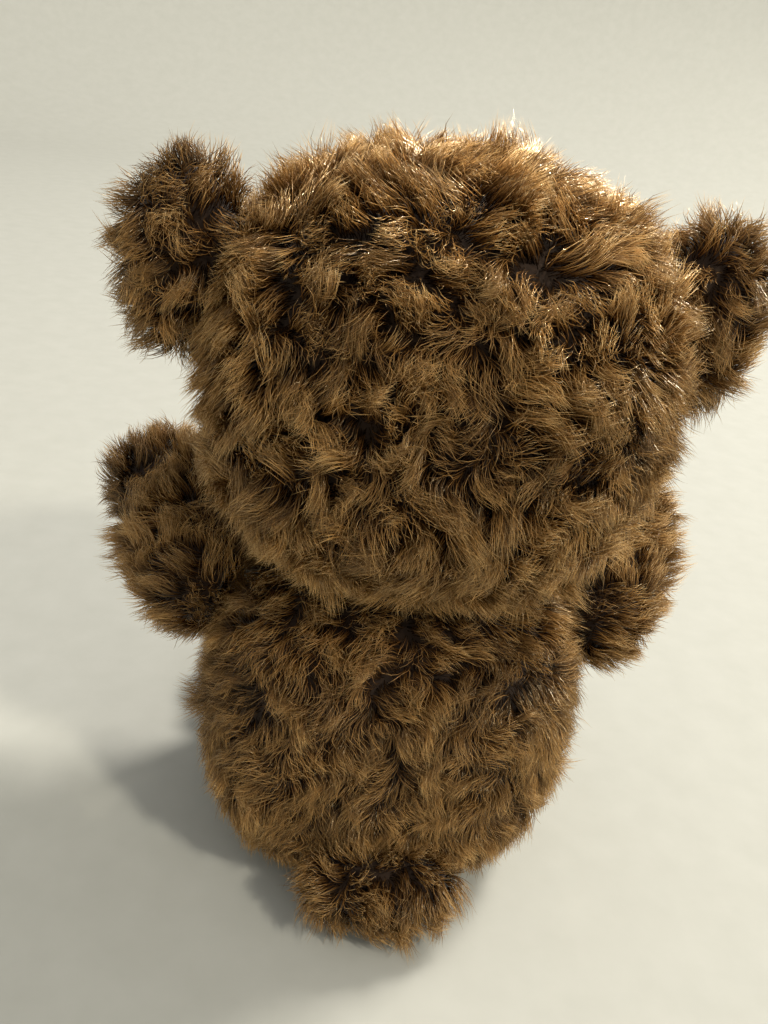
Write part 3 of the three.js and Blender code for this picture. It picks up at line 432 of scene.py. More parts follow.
def centre_lines(roots, normals, flow, pile, turn, length, lie, seed):
    """Strands that leave the surface steeply, bend over, and follow the waves of the coat."""
    lines = [roots]
    for k in range(SEGMENTS):
        t = (k + 0.5) / SEGMENTS
        here = lines[-1]
        lean = STAND + (lie - STAND) * t**0.7
        way = tangent(flow(here), normals)
        wave = pile["swirl"] * waves(here, pile["whorl"], seed)
        wave += pile["crimp"] * waves(here, CRIMP_SIZE, seed + 1)
        way = spun(way, normals, turn + wave)
        step = normals * np.cos(lean)[:, None] + way * np.sin(lean)[:, None]
        lines.append(here + step * (length / SEGMENTS)[:, None])
    return np.stack(lines, axis=1)


def nearest_tuft(roots, centres):
    tree = KDTree(len(centres))
    for i, c in enumerate(centres):
        tree.insert(c, i)
    tree.balance()
    return np.array([tree.find(r)[1] for r in roots])


def pile_lines(skin, flow, pile, keep, seed):
    """The centre lines of a coat's strands, gathered in tufts, with each strand's tint."""
    rng = np.random.default_rng(seed)
    centres, c_normals = skin.scatter(1 / pile["tuft"] ** 2, rng)
    roots, normals = skin.scatter(pile["density"], rng)
    kept = keep(roots)
    roots, normals = roots[kept], normals[kept]
    tuft = nearest_tuft(roots, centres)

    tuft_turn = rng.normal(0, pile["scatter"], len(centres))
    tuft_size = pile["length"] * rng.uniform(0.85, 1.12, len(centres))
    tuft_lie = pile["lie"] + 0.22 * waves(centres, LIE_PATCH, seed + 2) + rng.normal(0, 0.1, len(centres))
    tuft_lie = np.clip(tuft_lie, *LIE_RANGE)
    proud = rng.random(len(centres)) < PROUD
    tuft_lie[proud] *= PROUD_LEAN
    tuft_size[proud] *= PROUD_SIZE
    tuft_shade = rng.normal(0, 1, len(centres))
    axes = centre_lines(centres, c_normals, flow, pile, tuft_turn, tuft_size, tuft_lie, seed)

    count = len(roots)
    size = tuft_size[tuft] * rng.uniform(0.7, 1.1, count)
    size *= pile.get("trim", lambda p: 1.0)(roots)
    lie = tuft_lie[tuft] + rng.normal(0, 0.13, count)
    turn = tuft_turn[tuft] + rng.normal(0, 0.2, count)
    lines = centre_lines(roots, normals, flow, pile, turn, size, lie, seed)
    share = np.linspace(0, 1, SEGMENTS + 1)[None, :, None] ** 1.3
    pull = pile["gather"] * rng.uniform(0.3, 1.2, count)[:, None, None] * share
    reach = (size / tuft_size[tuft])[:, None, None]
    target = axes[tuft][:, :1] + (axes[tuft] - axes[tuft][:, :1]) * reach
    lines += (target - lines) * pull
    lines += rng.normal(0, 1, (count, 1, 3)) * pile["stray"] * share
    tint = 0.5 + 0.16 * tuft_shade[tuft] + 0.28 * rng.normal(0, 1, count)
    tint += 0.16 * waves(roots, TINT_PATCH, seed + 5)
    return lines, normals, np.clip(tint, 0, 0.999)


LIMIT_LOW = np.array(CAD_BOX[0])
LIMIT_HIGH = np.array(CAD_BOX[1])
SPARE = (MAY_GROW * (LIMIT_HIGH - LIMIT_LOW) + MAY_ADD) / 2
LIMIT_LOW, LIMIT_HIGH = LIMIT_LOW - SPARE, LIMIT_HIGH + SPARE * np.array([1, 1, 2])
LIMIT_LOW[2] = FLOOR_GAP


def strand_mesh(name, lines, normals, tint, width):
    """Closed three-sided tapered tubes along the lines, with the colour chart's UV map."""
    count = len(lines)
    lines = np.clip(lines, LIMIT_LOW, LIMIT_HIGH)
    rings = SEGMENTS
    along = np.gradient(lines, axis=1)
    side = unit(np.cross(along, normals[:, None, :]))
    up = unit(np.cross(side, along))
    t = np.arange(rings) / SEGMENTS
    thick = width * (1 - 0.75 * t**1.6) * (0.75 + 0.6 * t * (1 - t) * 2)
    verts = []
    for k in range(3):
        angle = 2 * np.pi * k / 3 + np.pi / 2
        offset = math.cos(angle) * side[:, :rings] + math.sin(angle) * up[:, :rings]
        verts.append(lines[:, :rings] + offset * (thick[None, :, None] / 2))
    verts = np.stack(verts, axis=2).reshape(count, rings * 3, 3)
    verts = np.concatenate([verts, lines[:, -1:]], axis=1)
    each = rings * 3 + 1

    quads, tips, base = [], [], [[2, 1, 0]]
    for r in range(rings - 1):
        for k in range(3):
            n = (k + 1) % 3
            quads.append([r * 3 + k, r * 3 + n, (r + 1) * 3 + n, (r + 1) * 3 + k])
    for k in range(3):
        tips.append([(rings - 1) * 3 + k, (rings - 1) * 3 + (k + 1) % 3, rings * 3])
    first = (np.arange(count) * each)[:, None, None]
    loops = [
        (first + np.array(quads)[None]).reshape(count, -1),
        (first + np.array(tips)[None]).reshape(count, -1),
        (first + np.array(base)[None]).reshape(count, -1),
    ]
    loop_verts = np.concatenate(loops, axis=1).ravel()
    sizes = np.tile([4] * len(quads) + [3] * (len(tips) + 1), count)
    starts = np.concatenate([[0], np.cumsum(sizes)[:-1]])

    column = np.floor(tint * TINTS) / TINTS
    low, high = column + 0.15 / TINTS, column + 0.85 / TINTS
    u, v = [], []
    for r in range(rings - 1):
        for k in range(3):
            u += [0, 1, 1, 0]
            v += [r / rings, r / rings, (r + 1) / rings, (r + 1) / rings]
    for k in range(3):
        u += [0, 1, 0.5]
        v += [(rings - 1) / rings, (rings - 1) / rings, 1]
    u += [0, 1, 0.5]
    v += [0.0, 0.0, 0.03]
    u, v = np.array(u), np.array(v)
    uv = np.stack(np.broadcast_arrays(low[:, None] + (high - low)[:, None] * u, v), axis=-1)

    mesh = bpy.data.meshes.new(name)
    mesh.vertices.add(count * each)
    mesh.vertices.foreach_set("co", verts.astype(np.float32).ravel())
    mesh.loops.add(len(loop_verts))
    mesh.loops.foreach_set("vertex_index", loop_verts.astype(np.int32))
    mesh.polygons.add(len(sizes))
    mesh.polygons.foreach_set("loop_start", starts.astype(np.int32))
    mesh.update(calc_edges=True)
    layer = mesh.uv_layers.new(name="OFBake")
    layer.uv.foreach_set("vector", uv.astype(np.float32).ravel())
    mesh.shade_smooth()
    return add_object(name, mesh)


def grow_fur(name, skin, body, slot, flow, pile, keep, seed):
    """Plants a coat of fur on a skin, in as many pieces as it needs."""
    lines, normals, tint = pile_lines(skin, flow, pile, keep, seed)
    pieces = max(1, math.ceil(len(lines) / PIECE_STRANDS))
    order = np.argsort(lines[:, 0, 2], kind="stable")
    for i, part in enumerate(np.array_split(order, pieces)):
        obj = strand_mesh(f"{name}_{i + 1}", lines[part], normals[part], tint[part], pile["width"])
        obj.data.materials.append(LOOKS[slot])
        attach(obj, body)
    print("FUR", name, len(lines), "strands", pieces, "pieces")


# ---- Materials ----

GLINT = (1.0, 0.84, 0.56, 1)  # the warm colour that fibres reflect


def new_look(name):
    look = bpy.data.materials.new(name)
    look.use_nodes = True
    tree = look.node_tree
    return look, tree, tree.nodes["Principled BSDF"]


def set_surface(shader, color=None, rough=0.6, metal=0.0, specular=0.5, sheen=0.0, coat=0.0):
    if color:
        shader.inputs["Base Color"].default_value = (*color, 1)
    shader.inputs["Roughness"].default_value = rough
    shader.inputs["Metallic"].default_value = metal
    shader.inputs["Specular IOR Level"].default_value = specular
    shader.inputs["Sheen Weight"].default_value = sheen
    shader.inputs["Coat Weight"].default_value = coat


def ramp_node(tree, factor, stops):
    ramp = tree.nodes.new("ShaderNodeValToRGB")
    while len(ramp.color_ramp.elements) < len(stops):
        ramp.color_ramp.elements.new(0.5)
    for element, (at, color) in zip(ramp.color_ramp.elements, stops):
        element.position = at
        element.color = (*color, 1)
    tree.links.new(factor, ramp.inputs["Fac"])
    return ramp.outputs["Color"]


def noise_node(tree, scale, detail=4.0, rough=0.55):
    place = tree.nodes.new("ShaderNodeTexCoord")
    noise = tree.nodes.new("ShaderNodeTexNoise")
    noise.inputs["Scale"].default_value = scale
    noise.inputs["Detail"].default_value = detail
    noise.inputs["Roughness"].default_value = rough
    tree.links.new(place.outputs["Object"], noise.inputs["Vector"])
    return noise.outputs["Fac"]


def bump_from(tree, shader, height, distance, strength=1.0):
    bump = tree.nodes.new("ShaderNodeBump")
    bump.inputs["Distance"].default_value = distance
    bump.inputs["Strength"].default_value = strength
    tree.links.new(height, bump.inputs["Height"])
    tree.links.new(bump.outputs["Normal"], shader.inputs["Normal"])


def fur_look(name, dark, light, rough):
    """Colour along each strand from the chart's V, mixed from a dark to a light strand by its U."""
    look, tree, shader = new_look(name)
    chart = tree.nodes.new("ShaderNodeUVMap")
    chart.uv_map = "OFBake"
    parts = tree.nodes.new("ShaderNodeSeparateXYZ")
    tree.links.new(chart.outputs["UV"], parts.inputs["Vector"])
    along = parts.outputs["Y"]
    mix = tree.nodes.new("ShaderNodeMix")
    mix.data_type = "RGBA"
    tree.links.new(parts.outputs["X"], mix.inputs["Factor"])
    places = (0.0, 0.35, 0.75, 1.0)
    tree.links.new(ramp_node(tree, along, list(zip(places, dark))), mix.inputs["A"])
    tree.links.new(ramp_node(tree, along, list(zip(places, light))), mix.inputs["B"])
    tree.links.new(mix.outputs["Result"], shader.inputs["Base Color"])
    set_surface(shader, rough=rough, specular=1.0)
    shader.inputs["Specular Tint"].default_value = GLINT
    return look


def cloth_look(name, low, high, scale=900.0, rough=0.9, depth=0.15 * MM):
    """A napped cloth: mottled colour with a fine woven grain."""
    look, tree, shader = new_look(name)
    grain = noise_node(tree, scale)
    patches = noise_node(tree, scale / 18, 3.0)
    blend = tree.nodes.new("ShaderNodeMath")
    blend.operation = "MULTIPLY_ADD"
    blend.inputs[1].default_value = 0.5
    tree.links.new(grain, blend.inputs[0])
    half = tree.nodes.new("ShaderNodeMath")
    half.operation = "MULTIPLY"
    half.inputs[1].default_value = 0.5
    tree.links.new(patches, half.inputs[0])
    tree.links.new(half.outputs[0], blend.inputs[2])
    tree.links.new(ramp_node(tree, blend.outputs[0], [(0.3, low), (0.7, high)]), shader.inputs["Base Color"])
    set_surface(shader, rough=rough, specular=0.25, sheen=0.35)
    bump_from(tree, shader, grain, depth)
    return look


def hard_look(name, low, high, rough, metal=0.0, scale=300.0, depth=0.03 * MM, coat=0.0):
    """A moulded or drawn surface: fine grain in colour, roughness and height."""
    look, tree, shader = new_look(name)
    grain = noise_node(tree, scale, 6.0)
    tree.links.new(ramp_node(tree, grain, [(0.35, low), (0.65, high)]), shader.inputs["Base Color"])
    set_surface(shader, rough=rough, metal=metal, coat=coat)
    spread = tree.nodes.new("ShaderNodeMapRange")
    spread.inputs["To Min"].default_value = rough * 0.85
    spread.inputs["To Max"].default_value = rough * 1.15
    tree.links.new(grain, spread.inputs["Value"])
    tree.links.new(spread.outputs["Result"], shader.inputs["Roughness"])
    bump_from(tree, shader, grain, depth)
    return look


def eye_look(name, centre):
    """A dark glass eye: a black pupil in a brown iris, seen from the front."""
    look, tree, shader = new_look(name)
    place = tree.nodes.new("ShaderNodeTexCoord")
    shift = tree.nodes.new("ShaderNodeVectorMath")
    shift.operation = "SUBTRACT"
    shift.inputs[1].default_value = centre
    tree.links.new(place.outputs["Object"], shift.inputs[0])
    flat = tree.nodes.new("ShaderNodeVectorMath")
    flat.operation = "MULTIPLY"
    flat.inputs[1].default_value = (1, 0, 1)
    tree.links.new(shift.outputs[0], flat.inputs[0])
    size = tree.nodes.new("ShaderNodeVectorMath")
    size.operation = "LENGTH"
    tree.links.new(flat.outputs[0], size.inputs[0])
    share = tree.nodes.new("ShaderNodeMath")
    share.operation = "DIVIDE"
    share.inputs[1].default_value = EYE_RADIUS
    tree.links.new(size.outputs["Value"], share.inputs[0])
    stops = [
        (0.0, (0.003, 0.002, 0.002)),
        (0.46, (0.003, 0.002, 0.002)),
        (0.5, (0.085, 0.034, 0.012)),
        (0.72, (0.05, 0.02, 0.007)),
        (0.78, (0.006, 0.004, 0.003)),
    ]
    tree.links.new(ramp_node(tree, share.outputs[0], stops), shader.inputs["Base Color"])
    set_surface(shader, rough=0.06, specular=0.6, coat=1.0)
    shader.inputs["Coat Roughness"].default_value = 0.03
    return look


# Colours at four places along a strand, from root to tip, for a darker and a lighter strand. The light brown's
# bright golden tips are partly the fur's own tipped colour and partly a painted highlight that stands in for
# glints along the fibres.
BROWN_DARK = [(0.01, 0.004, 0.001), (0.038, 0.016, 0.004), (0.12, 0.054, 0.015), (0.22, 0.11, 0.034)]
BROWN_LIGHT_WITH_PAINTED_GLINT = [(0.03, 0.012, 0.003), (0.18, 0.082, 0.022), (0.58, 0.32, 0.1), (1.0, 0.68, 0.3)]
CREAM_DARK = [(0.09, 0.05, 0.025), (0.2, 0.125, 0.065), (0.33, 0.22, 0.12), (0.42, 0.3, 0.17)]
CREAM_LIGHT = [(0.15, 0.09, 0.045), (0.36, 0.245, 0.135), (0.56, 0.42, 0.26), (0.7, 0.56, 0.38)]

LOOKS = {
    "fur": fur_look("brown_pile", BROWN_DARK, BROWN_LIGHT_WITH_PAINTED_GLINT, 0.24),
    "light_fur": fur_look("light_pile", CREAM_DARK, CREAM_LIGHT, 0.5),
    "skin": cloth_look("pile_backing", (0.012, 0.006, 0.003), (0.035, 0.018, 0.009)),
    "light_skin": cloth_look("light_backing", (0.12, 0.07, 0.035), (0.22, 0.14, 0.075)),
    "suede": cloth_look("suede_nap", (0.3, 0.19, 0.1), (0.46, 0.31, 0.18), 1400.0),
    "felt": cloth_look("tongue_felt", (0.42, 0.12, 0.12), (0.6, 0.2, 0.2), 1600.0),
    "fibre_filling": cloth_look("loose_fibre", (0.62, 0.6, 0.55), (0.8, 0.78, 0.73), 500.0, depth=0.8 * MM),
    "shell_plastic": hard_look("shell_moulding", (0.42, 0.4, 0.36), (0.5, 0.48, 0.43), 0.5),
    "gear_plastic": hard_look("gear_moulding", (0.76, 0.73, 0.65), (0.84, 0.81, 0.74), 0.38),
    "dark_plastic": hard_look(
        "dark_moulding", (0.018, 0.017, 0.016), (0.03, 0.028, 0.026), 0.48, scale=1500.0
    ),
    "gloss_black": hard_look(
        "nose_leather", (0.012, 0.008, 0.006), (0.03, 0.02, 0.015), 0.22, scale=900.0, coat=0.6
    ),
    "steel": hard_look("drawn_steel", (0.5, 0.5, 0.5), (0.62, 0.62, 0.62), 0.32, metal=1.0, scale=700.0),
    "cell_wrap": hard_look("cell_film", (0.03, 0.13, 0.26), (0.05, 0.17, 0.32), 0.3, metal=0.3),
    "circuit": hard_look("board_lacquer", (0.01, 0.09, 0.04), (0.02, 0.13, 0.06), 0.4, scale=200.0),
    "speaker_paper": hard_look(
        "pressed_paper", (0.03, 0.028, 0.026), (0.055, 0.05, 0.045), 0.85, scale=600.0, depth=0.1 * MM
    ),
}


def dress(obj, look):
    obj.data.materials.clear()
    obj.data.materials.append(LOOKS[look] if isinstance(look, str) else look)


def dress_frame():
    """Gives every CAD node that stays the finish of its own slot."""
    for part in frame["record"]["subparts"]:
        slot = part["material_slot"]
        for place in frame["nodes"][part["node"]].material_slots:
            place.material = LOOKS[slot]


# ---- Soft pieces ----

SOFT = {}  # by a skin's name: its object, CAD node, body, look, slot and how tight it is stuffed


def skin_from(name, node, body, size="small", hull=False, look="skin", slot="fur", fill=0.7):
    obj = hull_of(name, node) if hull else copy_of(name, node)
    obj.data.materials.clear()
    ready_for_stuffing(obj, *EVENING[size])
    SOFT[name] = {"obj": obj, "node": node, "body": body, "look": look, "slot": slot, "fill": fill}
    return obj


def make_skins():
    skin_from("body_skin", "torso_fur", "torso", size="large", hull=True, fill=0.6)
    skin_from("head_skin", "head_fur", "head", size="large", hull=True, fill=0.8)
    skin_from("tail_skin", "tail_fur", "torso", hull=True)
    pale = {"size": "tiny", "look": "light_skin", "slot": "light_fur"}
    skin_from("muzzle_skin", "muzzle_fur", "head", **pale)
    skin_from("chin_skin", "chin_fur", "jaw", hull=True, **pale)
    for side in SIDES:
        skin_from(f"leg_{side}_skin", f"leg_{side}_fur", "torso", hull=True)
        skin_from(f"arm_{side}_skin", f"arm_{side}_fur", f"arm_{side}", hull=True)
        skin_from(f"ear_{side}_skin", f"ear_{side}_fur", f"ear_{side}", hull=True)
    fit_skins(FIT_LOOSE)
    stuff([soft["obj"] for soft in SOFT.values()])
    for soft in SOFT.values():
        finish_skin(soft["obj"])
    fit_skins(FIT_CLOSE)


def fit_skins(gap):
    """Keeps the pieces that touch the head or the body clear of them."""
    for name in ("muzzle_skin", "chin_skin", "ear_left_skin", "ear_right_skin"):
        move_points(SOFT[name]["obj"], clear_of_head(points_of(SOFT[name]["obj"]), gap))
    for name in ("arm_left_skin", "arm_right_skin"):
        move_points(SOFT[name]["obj"], clear_through_swing(points_of(SOFT[name]["obj"]), gap))


def open_skins():
    """Makes the openings that parts pass through, once the fur's places are known."""
    far = 0.2
    low, high = HEAD_LOW[2] - 0.02, HEAD_LOW[2] + 0.012
    head, body = SOFT["head_skin"]["obj"], SOFT["body_skin"]["obj"]
    hollow(head)
    hollow(body)
    top = BODY_HIGH[2]
    cutters = [rod("cut_neck", (0, MIDDLE_Y, low), (0, MIDDLE_Y, high), NECK_RADIUS["head"])]
    for side in SIDES.values():
        eye = eye_centre(side)
        cutters.append(rod(f"cut_eye_{side}", eye - [0, far, 0], eye + [0, 0.004, 0], EYE_HOLE))
        ear = joint_place("ear_left_flick") * [side, 1, 1]
        reach = [side * 0.03, 0, 0]
        cutters.append(rod(f"cut_ear_{side}", ear, ear + reach, EAR_HOLE))
    low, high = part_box("jaw_frame")
    mouth_low = (low[0] - 2 * MM, low[1] - 5 * MM, low[2] - 9 * MM)
    mouth_high = (high[0] + 2 * MM, JAW_PIVOT[1], high[2] + 1 * MM)
    cutters.append(brick("cut_mouth", mouth_low, mouth_high))
    cut_away(head, cutters)
    shoulder = joint_place("arm_left_swing")
    base_low, base_high = node_box("base_plate")
    base_half = (base_high - base_low) / 2
    base = rod("cut_base", (0, 0, -far), (0, 0, base_high[2] + BASE_GAP), 1.0, 96)
    p = points_of(base)
    ring = p[:, :2] / (np.abs(p[:, :2]) ** BASE_POWER).sum(axis=1, keepdims=True) ** (1 / BASE_POWER)
    p[:, :2] = ring * (base_half[:2] + BASE_GAP) + [0, MIDDLE_Y]
    move_points(base, p)
    cut_away(body, [
        rod("cut_collar", (0, MIDDLE_Y, top - 0.012), (0, MIDDLE_Y, top + 0.02), NECK_RADIUS["body"]),
        rod("cut_arms", (-far, shoulder[1], shoulder[2]), (far, shoulder[1], shoulder[2]), SHOULDER_HOLE),
        base,
    ])


def place_skins():
    for name, soft in SOFT.items():
        obj = soft["obj"]
        dress(obj, soft["look"])
        obj.data.shade_smooth()
        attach(obj, soft["body"])
        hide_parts(soft["node"])


# ---- Which way the fur lies ----

def away_from(point):
    return lambda p: p - np.asarray(point)


def along(vector, spread_from=None, spread=0.0):
    vector = unit(np.asarray(vector, float))

    def flow(p):
        way = np.tile(vector, (len(p), 1))
        if spread_from is not None:
            way = way + spread * unit(p - spread_from)
        return way

    return flow


LONG_PILE = {
    "length": 14 * MM,
    "density": 1.9e6,  # strands in a square metre
    "tuft": 5.4 * MM,  # distance between tufts
    "swirl": 1.3,  # radians that the large waves turn the coat
    "whorl": 24 * MM,  # length of the large waves
    "crimp": 0.7,  # radians that the small waves turn it
    "scatter": 0.6,  # spread of the tufts' directions, in radians
    "lie": 1.1,  # radians from the normal at a strand's tip
    "gather": 0.66,  # how far strands close up to their tuft
    "stray": 1.1 * MM,
    "width": 0.27 * MM,
}
BODY_PILE = {
    **LONG_PILE,
    "length": 12 * MM,
    "density": 1.6e6,
    "tuft": 5.2 * MM,
    "swirl": 1.1,
    "whorl": 20 * MM,
    "lie": 1.28,
    "gather": 0.6,
}
SHORT_PILE = {
    **LONG_PILE,
    "length": 5 * MM,
    "density": 2.6e6,
    "tuft": 4 * MM,
    "swirl": 0.2,
    "scatter": 0.2,
    "crimp": 0.1,
    "lie": 1.2,
    "gather": 0.4,
    "stray": 0.3 * MM,
    "width": 0.26 * MM,
}
TAIL_PILE = {**LONG_PILE, "length": 12 * MM}
ARM_PILE = {**LONG_PILE, "length": 11.5 * MM, "tuft": 7 * MM}
EAR_PILE = {**LONG_PILE, "length": 11.5 * MM, "tuft": 6 * MM}
LEG_PILE = {**BODY_PILE, "length": 10.5 * MM}
SEEDS = {"head": 11, "body": 23, "tail": 31, "muzzle": 37, "chin": 41, "arm": 51, "ear": 61, "leg": 71}
SEAM = 1.5 * MM  # bare strip round a skin that sits on another
PAW_OUT = 79 * MM  # how far the paws, ears and hips lie from the middle
EAR_OUT = 55 * MM
HIP_OUT = 28 * MM


def grow_all():
    skins = {name: Skin(soft["obj"]) for name, soft in SOFT.items()}
    brow = np.array([0, HEAD_LOW[1] + 0.004, LID_PIVOT[2] - 0.006])

    def off(name, p, margin=1 * MM):
        return ~skins[name].holds(p, margin)

    def plant(part, body, flow, pile, keep, seed, slot="fur"):
        grow_fur(f"{part}_pile", skins[f"{part}_skin"], body, slot, flow, pile, keep, seed)

    def head_keep(p):
        from_neck = np.hypot(p[:, 0], p[:, 1] - MIDDLE_Y)
        kept = ~((p[:, 2] < HEAD_LOW[2] + 0.004) & (from_neck < NECK_RADIUS["head"] + 0.004))
        for s in SIDES.values():
            eye = eye_centre(s)
            from_eye = np.hypot(p[:, 0] - eye[0], p[:, 2] - eye[2])
            kept &= (from_eye > EYE_HOLE + 0.0012) | (p[:, 1] > eye[1])
        kept &= off("muzzle_skin", p, 2.5 * MM) & off("chin_skin", p, 3 * MM)
        for k in SIDES:
            kept &= off(f"ear_{k}_skin", p, SEAM)
        return kept

    def head_trim(p):
        """Longer on the cheeks and at the nape, and clipped round the eyes and the muzzle."""
        short = 1 + 0.16 * smooth_step(0.035, 0.06, np.abs(p[:, 0]))
        short += 0.25 * (1 - smooth_step(HEAD_LOW[2] + 0.004, HEAD_LOW[2] + 0.035, p[:, 2]))
        for s in SIDES.values():
            far = np.linalg.norm(p - (eye_centre(s) - [0, 0.008, 0]), axis=1)
            short = np.minimum(short, 0.3 + 0.7 * smooth_step(0.011, 0.032, far))
        muzzle = (MUZZLE_LOW + MUZZLE_HIGH) / 2
        far = np.linalg.norm((p - muzzle) * [1, 0.8, 1.2], axis=1)
        return np.minimum(short, 0.35 + 0.65 * smooth_step(0.024, 0.05, far))

    def body_keep(p):
        from_neck = np.hypot(p[:, 0], p[:, 1] - MIDDLE_Y)
        kept = ~((p[:, 2] > BODY_HIGH[2] - 0.006) & (from_neck < 0.03))
        kept &= p[:, 2] > 0.003
        for k in SIDES:
            kept &= off(f"leg_{k}_skin", p, SEAM) & off(f"arm_{k}_skin", p, SEAM)
        return kept & off("tail_skin", p, SEAM)

    def body_trim(p):
        """Shorter towards the base."""
        return 0.45 + 0.55 * smooth_step(0.004, 0.042, p[:, 2])

    def arm_trim(p):
        """Short beside the body, so that the arm can swing."""
        return np.clip(skins["body_skin"].distance(p) / (9 * MM), 0.3, 1)

    def tail_keep(p):
        return off("body_skin", p) & (p[:, 2] > 0.002)

    def muzzle_keep(p):
        return off("head_skin", p) & (p[:, 2] > MUZZLE_LOW[2] + 0.0015) & off_nose(p)

    def chin_keep(p):
        return off("head_skin", p, 2 * MM) & (p[:, 2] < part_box("chin_fur")[1][2] - 0.0015)

    def arm_keep(p):
        return off("body_skin", p, 2.5 * MM)

    def ear_keep(p):
        return off("head_skin", p)

    plant("head", "head", away_from(brow), {**LONG_PILE, "trim": head_trim}, head_keep, SEEDS["head"])
    down = along((0, 0, -1), np.array([0, MIDDLE_Y, 0.06]), 0.25)
    plant("body", "torso", down, {**BODY_PILE, "trim": body_trim}, body_keep, SEEDS["body"])
    tail_way = along((0, 1, -0.6), np.array([0, MIDDLE_Y + 0.03, 0.02]), 0.6)
    plant("tail", "torso", tail_way, TAIL_PILE, tail_keep, SEEDS["tail"])
    nose_tip = np.array([0, MUZZLE_LOW[1] - 0.004, MUZZLE_HIGH[2] - 0.008])
    plant("muzzle", "head", away_from(nose_tip), SHORT_PILE, muzzle_keep, SEEDS["muzzle"], "light_fur")
    plant("chin", "jaw", along((0, 0.5, -1)), SHORT_PILE, chin_keep, SEEDS["chin"], "light_fur")
    for k, s in SIDES.items():
        shoulder = joint_place("arm_left_swing") * [s, 1, 1]
        low, high = node_box(f"arm_{k}_fur")
        paw = np.array([s * PAW_OUT, low[1] + 0.015, high[2] - 0.015])
        arm_way = along(paw - shoulder, shoulder - [0, 0.01, 0], 0.35)
        arm_pile = {**ARM_PILE, "trim": arm_trim}
        plant(f"arm_{k}", f"arm_{k}", arm_way, arm_pile, arm_keep, SEEDS["arm"] + s)
        ear = np.array([s * EAR_OUT, MIDDLE_Y, EYE_HIGH[2] + 0.01])
        plant(f"ear_{k}", f"ear_{k}", away_from(ear), EAR_PILE, ear_keep, SEEDS["ear"] + s)
        sole_back = node_box(f"sole_{k}")[1][1]

        def leg_keep(p, back=sole_back):
            return off("body_skin", p) & (p[:, 1] > back + 0.0012) & (p[:, 2] > 0.0015)

        hip = np.array([s * HIP_OUT, MIDDLE_Y - 0.018, 0.02])
        leg_way = along((s * 0.12, -1, 0.0), hip, 0.3)
        plant(f"leg_{k}", "torso", leg_way, LEG_PILE, leg_keep, SEEDS["leg"] + s)


def off_nose(p):
    low, high = node_box("nose")
    middle = (low + high) / 2
    half = (high - low) / 2 + 0.6 * MM
    return (((p - middle) / half) ** 2).sum(axis=1) > 1


# ---- Face ----

def make_eyes():
    for k, s in SIDES.items():
        eye = eye_centre(s)
        obj = ball(f"eye_{k}", eye, [EYE_RADIUS] * 3)
        dress(obj, eye_look(f"glass_eye_{k}", eye))
        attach(obj, "head")
        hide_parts(f"eyeball_{k}")


def make_lids():
    for k in SIDES:
        obj = copy_of(f"lid_{k}", f"eyelid_{k}")
        obj.data.materials.clear()
        weld = obj.modifiers.new("weld", "WELD")
        weld.merge_threshold = 0.02 * MM
        apply_modifiers(obj)
        obj.data.shade_smooth()
        obj.data.set_sharp_from_angle(angle=math.radians(40))
        dress(obj, "light_skin")
        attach(obj, "eyelids")
        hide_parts(f"eyelid_{k}")


def make_nose():
    low, high = node_box("nose")
    obj = ball("nose_pad", (low + high) / 2, (high - low) / 2 * [1.05, 1.0, 1.05], 2.3)
    p = points_of(obj)
    middle = (low + high) / 2
    for s in SIDES.values():
        nostril = middle + [s * 3.4 * MM, -(high[1] - low[1]) / 2 + 0.001, -1.4 * MM]
        far = np.linalg.norm((p - nostril) * [1, 0.6, 1.3], axis=1)
        p[:, 1] += 2.2 * MM * (1 - smooth_step(0.4 * MM, 2.1 * MM, far))
    groove = 1 - smooth_step(0, 0.8 * MM, np.abs(p[:, 0]))
    p[:, 1] += 0.7 * MM * groove * (p[:, 2] < middle[2])
    move_points(obj, p)
    dress(obj, "gloss_black")
    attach(obj, "head")
    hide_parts("nose")


def make_tongue():
    low, high = node_box("tongue")
    obj = ball("tongue_pad", (low + high) / 2, (high - low) / 2, 2.2)
    p = points_of(obj)
    p[:, 2] -= 0.7 * MM * (1 - smooth_step(0, 1.6 * MM, np.abs(p[:, 0]))) * (p[:, 2] > low[2] + 1.2 * MM)
    move_points(obj, p)
    dress(obj, "felt")
    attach(obj, "jaw")
    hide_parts("tongue")


def make_soles():
    for k in SIDES:
        low, high = node_box(f"sole_{k}")
        middle, half = (low + high) / 2, (high - low) / 2
        obj = ball(f"sole_{k}_pad", middle, half * [1.0, 0.92, 1.0], 2.6)
        p = points_of(obj)
        p[:, 1] += 0.12 * MM * waves(p, 4 * MM, 5)
        move_points(obj, p)
        dress(obj, "suede")
        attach(obj, "torso")
        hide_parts(f"sole_{k}")


# ---- Floor, lights and camera ----

CAMERA_PLACE = (44.4 * MM, 272.0 * MM, 259.7 * MM)
CAMERA_AZIMUTH = 172.4
CAMERA_PITCH = 27.2
CAMERA_ROLL = 8.5
CAMERA_LENS = 32.7
ROOM_COLOR = (0.98, 0.985, 1.0, 1)
ROOM_STRENGTH = 0.68


def make_camera():
    az, pitch, roll = (math.radians(a) for a in (CAMERA_AZIMUTH, CAMERA_PITCH, CAMERA_ROLL))
    ahead = Vector((-math.sin(az) * math.cos(pitch), math.cos(az) * math.cos(pitch), -math.sin(pitch)))
    right = ahead.cross(Vector((0, 0, 1))).normalized()
    up = right.cross(ahead)
    across = math.cos(roll) * right + math.sin(roll) * up
    above = -math.sin(roll) * right + math.cos(roll) * up
    camera = bpy.data.objects.new("camera", bpy.data.cameras.new("camera"))
    bpy.context.scene.collection.objects.link(camera)
    camera.data.lens = CAMERA_LENS
    camera.data.sensor_width = 36
    camera.data.clip_start = 0.01
    turn = Matrix((across, above, -ahead)).transposed()
    camera.matrix_world = Matrix.Translation(CAMERA_PLACE) @ turn.to_4x4()
    bpy.context.scene.camera = camera


